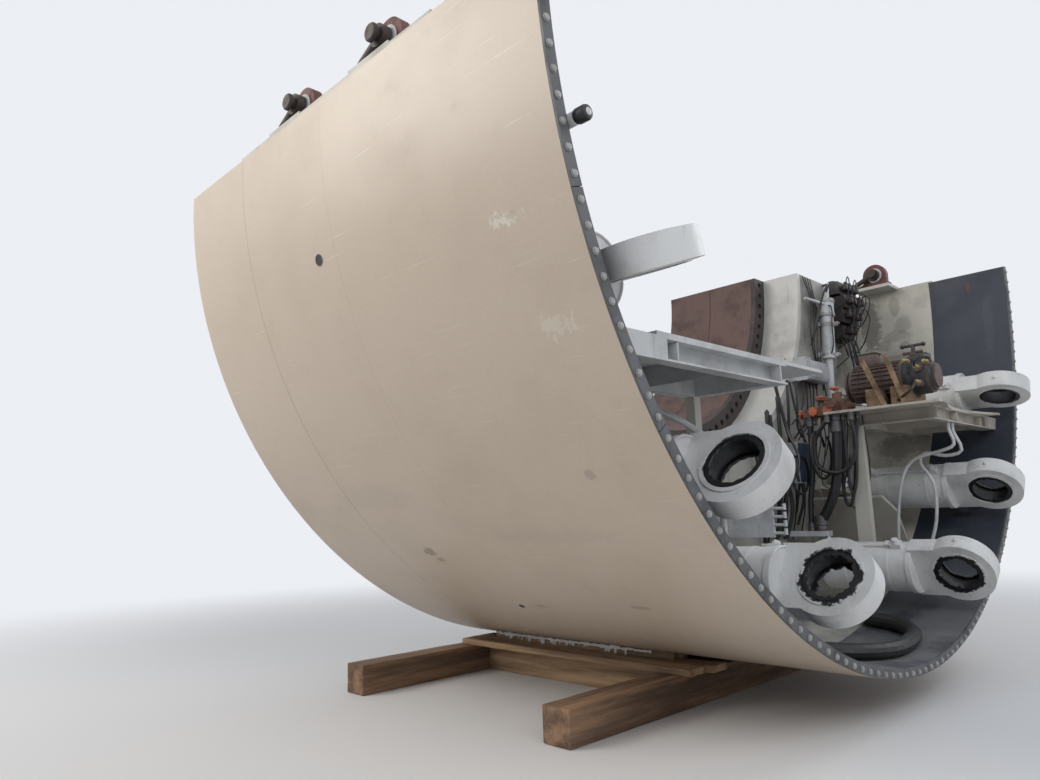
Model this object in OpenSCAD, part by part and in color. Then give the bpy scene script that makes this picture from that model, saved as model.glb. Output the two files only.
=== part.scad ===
// Lower half of a tunnel boring machine's rear shield section, resting on timbers.
// The shield axis runs along X, the tail end points to +X, the near side is -Y.
// Millimetres, +Z up, origin under the middle of the section at the ground.

/* [Shield shell] */
// Outer radius of the shield skin
shield_r = 3135; // [2500:5:4000]
// Length of the section along the axis
shield_l = 3200; // [2600:10:4200]
// Thickness of the skin plate
skin_t = 55; // [40:1:80]
// Length of the unpainted tail skin at the rear end
tail_l = 660; // [500:10:800]
// Thickness of the strip bolted to the rear rim
rim_t = 12; // [8:1:25]
// Bolts in the rear rim strip over half a turn
rim_bolts = 100; // [60:2:140]
// Diameter of each rim bolt hole
rim_hole_d = 22; // [16:1:30]
// Lengths that the rim strip comes in
rim_parts = 10; // [4:2:20]
// Depth of the front joint ring
front_ring_h = 230; // [150:5:320]
// Thickness of the front joint ring
front_ring_t = 60; // [40:1:90]
// Bolt holes in the front joint ring over half a turn
front_bolts = 36; // [18:2:60]
// Diameter of each front bolt hole
front_hole_d = 40; // [30:1:52]

/* [Inner rings] */
// Distance from the rear rim to the rear bulkhead
bulk_back = 1360; // [1200:10:1500]
// Thickness of both bulkheads
bulk_t = 40; // [25:1:60]
// Distance from the front ring to the front bulkhead
front_bay_l = 500; // [350:10:600]
// Distance from the skin to the hub ring
bay_h = 1320; // [1200:10:1500]
// Wall of the drive housing
drive_t = 60; // [40:1:90]
// Width of the bolted flange ring
flange_w = 170; // [130:5:220]
// Thickness of the bolted flange ring
flange_t = 45; // [30:1:70]
// Bolt holes in the flange ring over half a turn
flange_bolts = 48; // [24:2:72]
// Diameter of each flange hole
flange_hole_d = 48; // [30:1:60]
// Wall of the hub ring
hub_t = 60; // [40:1:90]
// Length of the hub ring
hub_l = 380; // [300:5:460]
// Thickness of the radial webs and the gussets
web_t = 30; // [20:1:50]
// Height of the gussets behind the rear bulkhead
gusset_h = 500; // [350:10:600]

/* [Articulation cylinders] */
// Distance from the skin to the cylinder axes
cyl_inset = 332; // [320:2:420]
// Distance from the rear rim forward to the eye centres
eye_back = 28; // [0:2:120]
// Outer radius of the eye
eye_r = 222; // [200:2:240]
// Bore of the eye for its bearing
eye_bore_d = 290; // [240:2:320]
// Thickness of the eye
eye_t = 130; // [100:2:170]
// Height of the eye plate where it leaves the barrel
eye_root_h = 380; // [320:2:440]
// Distance from the eye centre to the barrel
eye_reach = 270; // [250:5:320]
// Outer diameter of the barrel
barrel_d = 350; // [300:5:400]
// Length of the barrel
barrel_l = 630; // [500:10:700]
// Diameter of the rod
rod_d = 200; // [160:5:220]
// Diameter of the base pin
base_pin_d = 120; // [90:5:140]
// Distance from the rear bulkhead to the base pin
base_pin_off = 200; // [170:5:240]
// Thickness of the rod's foot
foot_t = 120; // [100:2:140]
// Thickness of each clevis cheek
cheek_t = 50; // [35:1:60]
// Running clearance of the rod and pins, on the radius
run_gap = 0.06; // [0.02:0.01:0.1]

/* [Platforms] */
// Distance from the upper far cylinder's axis down to the deck
deck_below = 202; // [195:1:300]
// Depth of the platform beams with the deck plate
deck_h = 120; // [100:5:160]
// Thickness of the deck plate
plate_t = 18; // [10:1:25]
// Width of the near platform along the shield
near_deck_w = 570; // [500:10:600]
// Width of the far platform along the shield
far_deck_w = 850; // [700:10:900]
// Distance from the rear rim to the platform edge
deck_back = 45; // [20:5:150]
// Distance from the lower far cylinder's axis out to the platforms' inner ends
deck_off = 41; // [30:1:150]
// Gap between a platform's outer beam and the skin
deck_gap = 280; // [200:10:400]
// Flange width of the platform beams
flange_out = 60; // [40:2:80]
// Plate of the platform beams
beam_plate = 9; // [6:1:14]

/* [Services] */
// Diameter of the motor on the far platform
motor_d = 300; // [240:10:340]
// Length of the motor
motor_l = 410; // [350:10:450]
// Height of the motor's axis above the deck
motor_up = 250; // [220:5:300]
// Diameter of the upright jack's tube
jack_d = 116; // [90:2:140]
// Length of the upright jack's tube
jack_l = 420; // [350:10:500]
// Bore of the thick hose
thick_hose_d = 80; // [60:2:90]
// Diameter of the rubber hose in the invert
invert_hose_d = 100; // [80:2:110]

/* [Lifting] */
// Height of the lifting lug hole above the split plane
lug_hole_h = 165; // [150:5:200]
// Thickness of a lifting lug
lug_t = 60; // [40:2:70]
// Pin diameter of the shackles
shackle_pin_d = 57; // [45:1:70]

/* [Timbers] */
// Height of the cross beams
beam_h = 200; // [150:5:300]
// Width of the cross beams
beam_w = 200; // [150:5:260]
// Length of the cross beams
beam_l = 3900; // [3400:50:4600]
// Thickness of the boards on the cross beams
board_t = 45; // [30:5:60]
// Distance from the middle plane to the long timbers
plank_in = 600; // [500:10:700]

/* [Hidden] */
// Node to draw
$fn = 96;
// Axis of the shield and its two ends
axis_h = beam_h + shield_r;
rear_x = (shield_l - eye_r + eye_back) / 2;
front_x = rear_x - shield_l;
skin_in = shield_r - skin_t;
tail_x = rear_x - tail_l;
bulk_x = rear_x - bulk_back;
front_bulk_x = front_x + front_ring_t + front_bay_l + bulk_t;
flange_x = bulk_x - hub_l;
hub_out = skin_in - bay_h;
hub_r = hub_out - hub_t;
drive_r = hub_r - flange_w;
// Rim bolt circle below the skin's outside, gap between strip lengths, step of the webs round the shell
rim_bolt_in = 23;
rim_gap = 4;
web_step = 22.5;
// Groove round the drive housing: distance ahead of the flange, width and depth
groove_fwd = 440;
groove_w = 6;
// Gussets behind the bulkhead: angles from the bottom towards the near side, and their corner cut
GUSSETS = [-36, 34];
gusset_cut = [70, 140];
// Articulation cylinders: angle from the bottom towards the near side, turn about the own axis
cyl_angle = 0;
cyl_turn = 1;
CYLINDERS = [[66, 4.5], [44, -8], [22.9, 12], [-19.1, -14], [-42.7, -5], [-63.7, -6]];
cyl_circle_r = skin_in - cyl_inset;
eye_x = rear_x - eye_back;
base_pin_x = bulk_x + base_pin_off;
barrel_x = eye_x - eye_reach - barrel_l;
// Rod: length inside the barrel, bore left at the eye's end, radius and side gap of its foot
rod_in = barrel_l - 200;
bore_end = 70;
foot_r = 105;
foot_gap = 7;
cheek_y = foot_t / 2 + foot_gap;
base_t = 40;
base_h = 300;
base_edge = 23;
// Barrel: end collar, gland, retaining rings of the eye, oil pipe with its two ports
collar_l = 30;
collar_up = 8;
gland_l = 40;
gland_in = 30;
ring_w = 20;
ring_up = 6;
ring_gap = 4;
pipe_r = 14;
port = [70, 60, 45];
port_sink = 12;
// Platforms: side, width along the shield, overhang of the plate on the frame, inner end of the frame
deck_side = 0;
deck_width = 1;
deck_over = 2;
deck_frame_in = 3;
deck_in = cyl_circle_r * sin(-CYLINDERS[3][cyl_angle]) + deck_off;
DECKS = [[-1, near_deck_w, 0, deck_in + 410], [1, far_deck_w, 100, deck_in + 180]];
deck_drop = cyl_circle_r * cos(CYLINDERS[5][cyl_angle]) + deck_below;
deck_top = axis_h - deck_drop;
deck_out = sqrt(skin_in * skin_in - deck_drop * deck_drop) - deck_gap;
web_in = flange_out + beam_plate;
// Gap that is left at a seat
seat_gap = 0.3;
// Hollow in the far plate's rear edge: radius, depth, distance of its middle from the plate's outer end
hollow_r = 2000;
hollow_d = 110;
hollow_out = 690;
// Posts under the inner front corners: size along X and Y for each platform
POSTS = [[60, 60], [110, 60]];
// Motor: its front end from the rear rim, its side place, fan cover, end flange and bands round it
motor_back = 830;
motor_y = deck_in + 540;
fan_l = 30;
fan_in = 30;
flange_l = 24;
flange_up = 15;
band_pitch = 90;
band_l = 12;
band_up = 5;
// Pump: length, diameter, end cap, valve on top with its handle, two ports with their heights
pump_l = 230;
pump_d = 260;
cap_l = 40;
cap_in = 35;
valve_x = 60;
valve_d = 90;
valve_h = 175;
stem_d = 60;
handle_up = 208;
handle_d = 26;
handle_l = 150;
inlet_x = 130;
inlet_out = 80;
inlet_d = 56;
inlet_l = 90;
INLETS = [-60, 55];
// Blocks: distance from the rear rim and length, their width; stakes: foot from the rear rim and lean, width, length
block_w = 420;
block_y = motor_y - 240;
BLOCKS = [[670, 110], [480, 120]];
STAKES = [[512, -20.5], [364, -16]];
stake_w = 32;
stake_l = 450;
// Valve manifold: blocks as place and size, cross pipe with its flanges, upright and forward spindles
manifold_y = 30;
MANIFOLD = [[[0, 60, 0], [110, 120, 110]], [[-190, 20, -16], [190, 140, 60]], [[-20, 60, 0], [40, 100, 44]]];
cross_pipe = [50, -20, 70];
cross_pipe_d = 56;
cross_pipe_l = 400;
cross_flange_d = 84;
cross_flange_l = 22;
CROSS_FLANGES = [0, 230, 378];
// Spindles: place, diameter, length, tilt towards +X
SPINDLES = [[[55, 120, 100], 70, 60, 0], [[-215, 90, 14], 60, 30, 90], [[-60, 90, 40], 30, 80, 0], [[-60, 90, 110], 90, 14, 0], [[50, 290, 0], 46, 50, 0]];
// Boxes on the bulkhead beside the hub ring: angle from the bottom towards the far side, distance from the hub, size
box_angle = 0;
box_off = 1;
box_size = 2;
BOXES = [[58.8, 111, [160, 400, 180]], [59.8, 15, [110, 130, 110]], [31.5, 345, [210, 250, 330]]];
// Upright jack: distance outside the hub ring, top below the axis, lean, distance behind the bulkhead
jack_y = hub_out + 290;
jack_top = 100;
jack_lean = -6;
jack_off = 110;
// Jack from its top down: rod end, head, tube with its collar, foot rod; oil pipe; clamps to the bulkhead
jack_neck = 130;
jack_head_l = 165;
jack_head_up = 8;
jack_tube_top = 290;
jack_collar_l = 20;
jack_collar_up = 6;
jack_rod_l = 440;
jack_rod_d = 0.6 * jack_d;
jack_pipe_drop = 172;
jack_pipe_d = 26;
jack_pipe_l = 440;
jack_pipe_tilt = 98;
CLAMPS = [380, 260 + jack_l, 690 + jack_l];
clamp_w = 60;
clamp_h = 40;
// Valve stack: centre beside the jack, blocks with place below the axis, width, height and depth
stack_y = jack_y + 390;
stack_drop = 0;
stack_w = 1;
stack_h = 2;
stack_deep = 3;
STACK = [[130, 400, 130, 150], [270, 340, 130, 190], [410, 380, 150, 160], [550, 260, 130, 130]];
// Joint under each block: its width within the block's, its depth and height; coils on top; stubs on each face
joint_in = 30;
joint_deep = 60;
joint_h = 20;
block_gap = 8;
COILS = [-150, -50, 50, 150];
coil_d = 66;
coil_l = 90;
coil_x = 75;
coil_drop = 35;
STUBS = [-70, 20];
stub_d = 50;
stub_l = 40;
// Hoses hang between the deck plate and the lower far cylinder: percent of that way as a depth below the axis
under = deck_drop + plate_t + seat_gap;
hang_end = cyl_circle_r * cos(CYLINDERS[3][cyl_angle]) - barrel_d / 2 - collar_up;
function hang(percent) = under + (hang_end - under) * percent / 100;
rail_drop = hang(93);
rail_in = 35;
rail = [385, 110, 40];
// Comb bracket: distance from the middle plane, bottom below the axis, size, hooks with pitch, place and length
comb_y = 190;
comb_drop = hang(94.5);
comb = [360, 20, 230];
hook_pitch = 58;
hook_x = 340;
hook_l = 110;
hook_d = 22;
// Each hose: distance from the middle plane, diameter, depth of its two ends, points as distance from the rear rim and percent
hose_y = 0;
hose_d = 1;
hose_ends = 2;
hose_path = 3;
on_rail = rail_drop - seat_gap;
HOSES = [
  [deck_in + 80, 44, [deck_drop + 16 + seat_gap, on_rail], [[1050, 0], [1050, 6], [1060, 43], [1100, 68], [1110, 86], [1110, 93]]],
  [deck_in + 92, thick_hose_d, [under, on_rail], [[840, 0], [840, 12], [880, 52], [950, 72], [1035, 86], [1035, 93]]],
  [deck_in + 22, 36, [under, under], [[880, 0], [880, 4], [990, 19], [990, 40], [870, 47], [750, 44], [670, 27], [690, 4], [690, 0]]],
  [deck_in + 158, 28, [under, under], [[820, 0], [820, 4], [830, 29], [860, 61], [835, 73], [795, 69], [750, 45], [730, 4], [730, 0]]],
  [deck_in + 70, 28, [under, under], [[770, 0], [770, 4], [775, 45], [755, 64], [715, 53], [690, 27], [660, 4], [660, 0]]]
];
// Rubber hose lying in the invert: distance from the rear rim, distance from the middle plane
INVERT = [[640, 740], [593, 698], [450, 660], [323, 596], [220, 450], [195, 250], [213, 19], [310, -170], [447, -280], [640, -360]];
// Light pipes from a platform's beam down to the skin, past a cylinder: diameter, side place, depth that is 100 percent,
// points as distance from the rear rim, offset from the side place and percent of the way down
tube_d = 0;
tube_y = 1;
tube_low = 2;
tube_path = 3;
flange_under = deck_drop + deck_h + seat_gap;
far_pipe_y = -cyl_circle_r * sin(CYLINDERS[4][cyl_angle]) - 264;
far_pipe_low = sqrt(skin_in * skin_in - far_pipe_y * far_pipe_y);
near_pipe_y = -cyl_circle_r * sin(CYLINDERS[1][cyl_angle]);
near_pipe_low = cyl_circle_r * cos(CYLINDERS[1][cyl_angle]);
TUBES = [
  [26, far_pipe_y, far_pipe_low, [
    [175, 0, 0], [175, 0, 6], [130, 0, 20], [250, 0, 23], [390, 0, 20], [440, 0, 27],
    [380, 0, 37], [350, 0, 48], [370, 0, 69], [430, 0, 86], [460, 0, 93], [460, 0, 130]
  ]],
  [26, far_pipe_y - 100, far_pipe_low, [
    [175, 0, 0], [175, 0, 5], [150, 0, 16], [250, 0, 20], [400, 0, 23], [480, 0, 27],
    [545, 0, 36], [590, 0, 51], [620, 0, 70], [640, 0, 93], [640, 0, 130]
  ]],
  [34, near_pipe_y, near_pipe_low, [
    [560, -170, 0], [560, -170, 12], [440, 10, 30], [370, 150, 46], [320, 270, 73], [320, 310, 150], [320, 310, 220], [320, 310, 300]
  ]]
];
// Grease pipe along the tail skin: angle, radius, length past the rim
grease_angle = 76.7;
grease_r = 27;
grease_out = 60;
// Lifting lugs: distance from the rear rim, side
lug_back = 0;
lug_side = 1;
LUGS = [[1950, -1], [1120, -1], [1950, 1], [1120, 1]];
lug_in = 150;
lug_y = shield_r - lug_in;
lug_r = 115;
// Edge bars and the pads under the lugs
bar_up = 14;
bar_l = 1840;
pad_up = 30;
pad_l = 340;
pad_w = 300;
// Shackles lie forward and droop until the bow rests on the edge
shackle_droop = 24;
shackle_leg = 170;
shackle_bar_d = 50;
shackle_eye_r = 58;
shackle_half_w = 72;
shackle_pin_l = 240;
// Timbers: the rear beam's distance from the rear rim, widths, board ends and upper strip
rear_beam_back = 1280;
timber_w = 180;
board_w = 350;
board_back = 970;
strip_w = 160;
strip_back = 1260;

// Moves a child from the shield axis into place
module on_axis(x = 0) {
  translate([x, 0, axis_h]) children();
}

// Keeps the lower half only
module lower_half() {
  difference() {
    children();
    translate([-4 * shield_l, -2 * shield_r, axis_h]) cube([8 * shield_l, 4 * shield_r, 2 * shield_r]);
  }
}

// Full cylinder along X between two stations
module bar_x(x0, x1, r) {
  on_axis(x0) rotate([0, 90, 0]) cylinder(r = r, h = x1 - x0, $fn = 360);
}

// Half tube along X, open upwards
module half_tube(x0, x1, r_out, r_in) {
  lower_half() difference() {
    bar_x(x0, x1, r_out);
    bar_x(x0 - 1, x1 + 1, r_in);
  }
}

// Frame at an angle from the bottom: local Z points to the axis, local Y round the shell
module at_angle(angle, r) {
  translate([0, 0, axis_h]) rotate([-angle, 0, 0]) translate([0, 0, -r]) children();
}

// Round hole pattern along X over half a turn
module half_pattern(count, r, d, x0, x1) {
  for (i = [0 : count - 1])
    at_angle(-90 + (i + 0.5) * 180 / count, r) translate([x0, 0, 0]) rotate([0, 90, 0]) cylinder(d = d, h = x1 - x0, $fn = 16);
}

// Smooth curve through points, with straight ends
function curve_at(p, i, t) =
  let (a = p[max(i - 1, 0)], b = p[i], c = p[i + 1], d = p[min(i + 2, len(p) - 1)])
  0.5 * (2 * b + t * (c - a) + t * t * (2 * a - 5 * b + 4 * c - d) + t * t * t * (3 * b - a - 3 * c + d));
function on_curve(p, i, t) = i == 0 || i == len(p) - 2 ? p[i] + (p[i + 1] - p[i]) * t : curve_at(p, i, t);
function curve(p, n) = concat([for (i = [0 : len(p) - 2]) for (k = [0 : n - 1]) on_curve(p, i, k / n)], [p[len(p) - 1]]);
function unit(v) = v / norm(v);

// Round hose swept along a curve; side is a direction that the hose never points in
module hose(points, d, side = [0, 1, 0], n = 3, sides = 8) {
  c = curve(points, n);
  last = len(c) - 1;
  rings = [for (i = [0 : last])
    let (t = unit(c[min(i + 1, last)] - c[max(i - 1, 0)]), u = unit(cross(t, side)), v = cross(u, t))
    for (k = [0 : sides - 1]) c[i] + d / 2 * (cos(360 * k / sides) * u + sin(360 * k / sides) * v)];
  walls = [for (i = [0 : last - 1]) for (k = [0 : sides - 1])
    let (a = i * sides + k, b = i * sides + (k + 1) % sides) [a, b, b + sides, a + sides]];
  polyhedron(points = rings, faces = concat([[for (k = [sides - 1 : -1 : 0]) k]], walls, [[for (k = [0 : sides - 1]) last * sides + k]]), convexity = 4);
}

module main_skin() color([0.86, 0.82, 0.74]) half_tube(front_x, tail_x, shield_r, skin_in);

module tail_skin() color([0.2, 0.22, 0.27]) half_tube(tail_x, rear_x - rim_t, shield_r, skin_in);

module rim_strip() color([0.45, 0.46, 0.47]) difference() {
  half_tube(rear_x - rim_t, rear_x, shield_r, skin_in);
  half_pattern(rim_bolts, shield_r - rim_bolt_in, rim_hole_d, rear_x - rim_t - 1, rear_x + 1);
  for (i = [1 : rim_parts - 1])
    at_angle(-90 + i * 180 / rim_parts, shield_r + 1) translate([rear_x - rim_t - 1, -rim_gap / 2, 0]) cube([rim_t + 2, rim_gap, skin_t + 2]);
}

module front_ring() color([0.8, 0.78, 0.72]) difference() {
  half_tube(front_x, front_x + front_ring_t, skin_in, skin_in - front_ring_h);
  half_pattern(front_bolts, skin_in - front_ring_h / 2, front_hole_d, front_x - 1, front_x + front_ring_t + 1);
}

module edge_bars() color([0.8, 0.78, 0.72])
  for (side = [-1, 1]) {
    translate([tail_x + pad_up - bar_l, side * (shield_r - skin_t / 2) - skin_t / 2, axis_h]) cube([bar_l, skin_t, bar_up]);
    for (l = LUGS) if (l[lug_side] == side)
      translate([rear_x - l[lug_back] - pad_l / 2, side * (shield_r - pad_w / 2) - pad_w / 2, axis_h]) cube([pad_l, pad_w, pad_up]);
  }

module rear_bulkhead() color([0.84, 0.82, 0.76]) half_tube(bulk_x - bulk_t, bulk_x, skin_in, hub_out);

module front_bulkhead() color([0.84, 0.82, 0.76]) half_tube(front_bulk_x - bulk_t, front_bulk_x, skin_in, drive_r + drive_t);

module hub_ring() color([0.86, 0.85, 0.8]) half_tube(flange_x, bulk_x, hub_out, hub_r);

module flange_ring() color([0.2, 0.15, 0.13]) difference() {
  half_tube(flange_x, flange_x + flange_t, hub_r, drive_r);
  half_pattern(flange_bolts, (hub_r + drive_r) / 2, flange_hole_d, flange_x - 1, flange_x + flange_t + 1);
}

module drive_housing() color([0.36, 0.2, 0.16]) difference() {
  half_tube(front_bulk_x - bulk_t, flange_x, drive_r + drive_t, drive_r);
  half_tube(flange_x - groove_fwd - groove_w, flange_x - groove_fwd, drive_r + groove_w, drive_r - 1);
}

module radial_webs() color([0.8, 0.78, 0.72])
  lower_half() for (angle = [-3 * web_step : web_step : 3 * web_step])
    intersection() {
      at_angle(angle, skin_in + web_t) translate([front_bulk_x, -web_t / 2, 0]) cube([bulk_x - bulk_t - front_bulk_x, web_t, skin_in + web_t - hub_out]);
      bar_x(front_bulk_x, bulk_x - bulk_t, skin_in);
    }

// Upright plates between the bulkhead and the skin, with a cut corner
module gusset_plates() color([0.82, 0.81, 0.77])
  for (angle = GUSSETS)
    intersection() {
      at_angle(angle, skin_in) rotate([90, 0, 0]) linear_extrude(web_t, center = true)
        polygon([[bulk_x, -web_t], [tail_x, -web_t], [tail_x, gusset_h - gusset_cut[1]], [tail_x - gusset_cut[0], gusset_h], [bulk_x, gusset_h]]);
      bar_x(bulk_x, tail_x, skin_in);
    }

// Clevis for one cylinder foot, in the cylinder's own frame
module clevis() {
  translate([bulk_x, 0, 0]) difference() {
    union() {
      translate([0, -cheek_y - cheek_t - base_edge, -base_h / 2]) cube([base_t, 2 * (cheek_y + cheek_t + base_edge), base_h]);
      for (side = [-1, 1]) translate([0, side * (cheek_y + cheek_t / 2), 0]) rotate([90, 0, 0]) {
        translate([base_pin_off, 0, 0]) cylinder(r = foot_r, h = cheek_t, center = true);
        linear_extrude(cheek_t, center = true) polygon([[base_t - 1, -base_h / 2 + 10], [base_pin_off, -foot_r], [base_pin_off, foot_r], [base_t - 1, base_h / 2 - 10]]);
      }
    }
    translate([base_pin_off, -base_h, 0]) rotate([-90, 0, 0]) cylinder(d = base_pin_d, h = 2 * base_h);
  }
}

module clevis_brackets() color([0.75, 0.74, 0.7])
  for (c = CYLINDERS) at_angle(c[cyl_angle], cyl_circle_r) clevis();

module base_pins() color([0.3, 0.3, 0.31])
  for (c = CYLINDERS) at_angle(c[cyl_angle], cyl_circle_r)
    translate([base_pin_x, -cheek_y - cheek_t - base_edge / 2, 0]) rotate([-90, 0, 0]) cylinder(d = base_pin_d, h = 2 * (cheek_y + cheek_t) + base_edge);

// One rod with its foot eye
module rod(i) color([0.62, 0.63, 0.65])
  at_angle(CYLINDERS[i][cyl_angle], cyl_circle_r) difference() {
    union() {
      translate([base_pin_x, -foot_t / 2, 0]) rotate([-90, 0, 0]) cylinder(r = foot_r, h = foot_t);
      translate([base_pin_x, 0, 0]) rotate([0, 90, 0]) cylinder(d = rod_d, h = barrel_x + rod_in - base_pin_x);
    }
    translate([base_pin_x, -foot_t, 0]) rotate([-90, 0, 0]) cylinder(d = base_pin_d + 2 * run_gap, h = 2 * foot_t);
    for (side = [-1, 1])
      translate([base_pin_x - foot_r - 5, side * foot_t - foot_t / 2, -foot_r - 5]) cube([2 * foot_r + 5, foot_t, 2 * foot_r + 10]);
  }

// Round bar along X, in a cylinder's own frame
module round_x(x, l, d) {
  translate([x, 0, 0]) rotate([0, 90, 0]) cylinder(d = d, h = l);
}

// One barrel with its gland, oil pipe and eye; retaining rings stand proud round the eye's bore
module barrel(i) color([0.8, 0.82, 0.84])
  at_angle(CYLINDERS[i][cyl_angle], cyl_circle_r) rotate([-CYLINDERS[i][cyl_turn], 0, 0]) difference() {
    union() {
      round_x(barrel_x, barrel_l, barrel_d);
      round_x(barrel_x - gland_l, gland_l + 1, barrel_d - 2 * gland_in);
      round_x(barrel_x + barrel_l - collar_l, collar_l, barrel_d + 2 * collar_up);
      translate([eye_x, -eye_t / 2, 0]) rotate([-90, 0, 0]) cylinder(r = eye_r, h = eye_t);
      translate([barrel_x + barrel_l - collar_l / 2, -eye_t / 2, -eye_root_h / 2]) cube([eye_reach + collar_l / 2, eye_t, eye_root_h]);
      translate([eye_x, -eye_t / 2 - ring_up, 0]) rotate([-90, 0, 0]) cylinder(d = eye_bore_d + 2 * (ring_gap + ring_w), h = eye_t + 2 * ring_up);
      translate([barrel_x + port[0], 0, barrel_d / 2 + pipe_r - port_sink / 2]) rotate([0, 90, 0]) cylinder(r = pipe_r, h = barrel_l - 2 * port[0] - collar_l, $fn = 24);
      for (x = [barrel_x + port[0] / 2, barrel_x + barrel_l - collar_l - 1.5 * port[0]])
        translate([x, -port[1] / 2, barrel_d / 2 - port_sink]) cube(port);
    }
    round_x(barrel_x - gland_l - 1, barrel_l + gland_l + 1 - bore_end, rod_d + 2 * run_gap);
    translate([eye_x, -eye_t, 0]) rotate([-90, 0, 0]) cylinder(d = eye_bore_d, h = 2 * eye_t);
    for (side = [-1, 1])
      translate([eye_x, side * (eye_t / 2 + ring_up), 0]) rotate([90, 0, 0]) cylinder(d = eye_bore_d + 2 * ring_gap, h = 2 * ring_up, center = true);
  }

// Rectangle of channel beams, their flanges turned outwards, with a joist across the middle
module beam_frame(l, w, h) {
  difference() {
    cube([l, w, h]);
    for (half = [0, 1])
      translate([web_in, half == 0 ? web_in : w / 2 + beam_plate / 2, -1]) cube([l - 2 * web_in, w / 2 - web_in - beam_plate / 2, h + 2]);
    difference() {
      translate([-1, -1, beam_plate]) cube([l + 2, w + 2, h - 2 * beam_plate]);
      translate([flange_out, flange_out, 0]) cube([l - 2 * flange_out, w - 2 * flange_out, h]);
      for (y = [flange_out, w - flange_out - beam_plate])
        translate([l - flange_out - 1, y, 0]) cube([flange_out + 1, beam_plate, h]);
    }
  }
}

// One platform: deck plate, beam frame and two arms to the skin
module platform(i) {
  w = DECKS[i][deck_width];
  over = DECKS[i][deck_over];
  y0 = DECKS[i][deck_frame_in];
  x0 = rear_x - deck_back - w;
  frame_l = w - 2 * over;
  frame_h = deck_h - plate_t;
  difference() {
    translate([x0, deck_in, deck_top - plate_t]) cube([w, deck_out - deck_in, plate_t]);
    if (over > 0)
      translate([rear_x - deck_back + hollow_r - hollow_d, deck_out - hollow_out, deck_top - deck_h]) cylinder(r = hollow_r, h = 2 * deck_h, $fn = 360);
  }
  translate([x0 + over, y0, deck_top - deck_h]) beam_frame(frame_l, deck_out - y0, frame_h);
  intersection() {
    for (x = [x0 + over, x0 + over + frame_l - 2 * flange_out])
      translate([x, deck_out - flange_out, deck_top - deck_h]) cube([2 * flange_out, 4 * deck_gap, frame_h]);
    bar_x(x0, rear_x - deck_back, skin_in);
  }
}

module near_platform() color([0.6, 0.62, 0.64]) mirror([0, 1, 0]) platform(0);

module far_platform() color([0.75, 0.74, 0.7]) platform(1);

// A post under the inner front corner of each platform, flush with the web over it, down to the skin
module deck_posts() color([0.7, 0.7, 0.68])
  intersection() {
    for (i = [0 : len(DECKS) - 1]) {
      y = DECKS[i][deck_side] * (DECKS[i][deck_frame_in] + web_in - POSTS[i][1] / 2);
      translate([rear_x - deck_back - DECKS[i][deck_width] + DECKS[i][deck_over], y - POSTS[i][1] / 2, axis_h - shield_r])
        cube([POSTS[i][0], POSTS[i][1], shield_r - deck_drop - deck_h]);
    }
    bar_x(bulk_x, rear_x, skin_in);
  }

// Motor and pump lying on blocks, with a valve on top
module pump_set() color([0.36, 0.2, 0.15])
  translate([rear_x - motor_back, motor_y, deck_top + motor_up]) {
    round_x(0, motor_l, motor_d);
    round_x(-fan_l, fan_l + 1, motor_d - 2 * fan_in);
    round_x(motor_l - flange_l / 2, flange_l, motor_d + 2 * flange_up);
    round_x(motor_l, pump_l - cap_l, pump_d);
    round_x(motor_l + pump_l - cap_l - 1, cap_l + 1, pump_d - 2 * cap_in);
    for (x = [band_pitch / 2 + flange_up : band_pitch : motor_l - band_pitch / 2]) round_x(x, band_l, motor_d + 2 * band_up);
    translate([motor_l + valve_x, 0, 0]) {
      cylinder(d = valve_d, h = valve_h);
      translate([0, 0, valve_h - 1]) cylinder(d = stem_d, h = handle_up - valve_h + 2);
      translate([-handle_l / 2, 0, handle_up]) rotate([0, 90, 0]) cylinder(d = handle_d, h = handle_l);
    }
    for (z = INLETS) translate([motor_l + inlet_x, -inlet_out, z]) rotate([90, 0, 0]) cylinder(d = inlet_d, h = inlet_l);
  }

// Timber blocks under the motor, cut to its round, and two stakes nailed to them
module deck_blocks() color([0.72, 0.55, 0.36]) {
  difference() {
    for (b = BLOCKS) translate([rear_x - b[0], block_y, deck_top]) cube([b[1], block_w, motor_up - motor_d / 4]);
    translate([0, motor_y, deck_top + motor_up]) round_x(bulk_x, bulk_back, motor_d + 2 * (band_up + seat_gap));
    translate([rear_x - motor_back, motor_y, deck_top + motor_up])
      round_x(motor_l - flange_l / 2 - 1, flange_l + 2, motor_d + 2 * (flange_up + seat_gap));
  }
  for (s = STAKES)
    intersection() {
      translate([rear_x - s[0], block_y - stake_w - seat_gap, deck_top]) rotate([0, s[1], 0]) translate([-stake_w / 2, 0, -stake_w]) cube([stake_w, stake_w, stake_l + stake_w]);
      translate([bulk_x, deck_in, deck_top]) cube([bulk_back, motor_y, 2 * stake_l]);
    }
}

// Valve block with pipe ends and knobs, on the platform's front corner
module valve_manifold() color([0.42, 0.2, 0.12])
  translate([rear_x - deck_back - far_deck_w, deck_in + manifold_y, deck_top]) {
    for (b = MANIFOLD) translate(b[0]) cube(b[1]);
    translate(cross_pipe) rotate([-90, 0, 0]) {
      cylinder(d = cross_pipe_d, h = cross_pipe_l);
      for (y = CROSS_FLANGES) translate([0, 0, y]) cylinder(d = cross_flange_d, h = cross_flange_l);
    }
    for (s = SPINDLES) translate(s[0]) rotate([0, s[3], 0]) cylinder(d = s[1], h = s[2]);
  }

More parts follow.
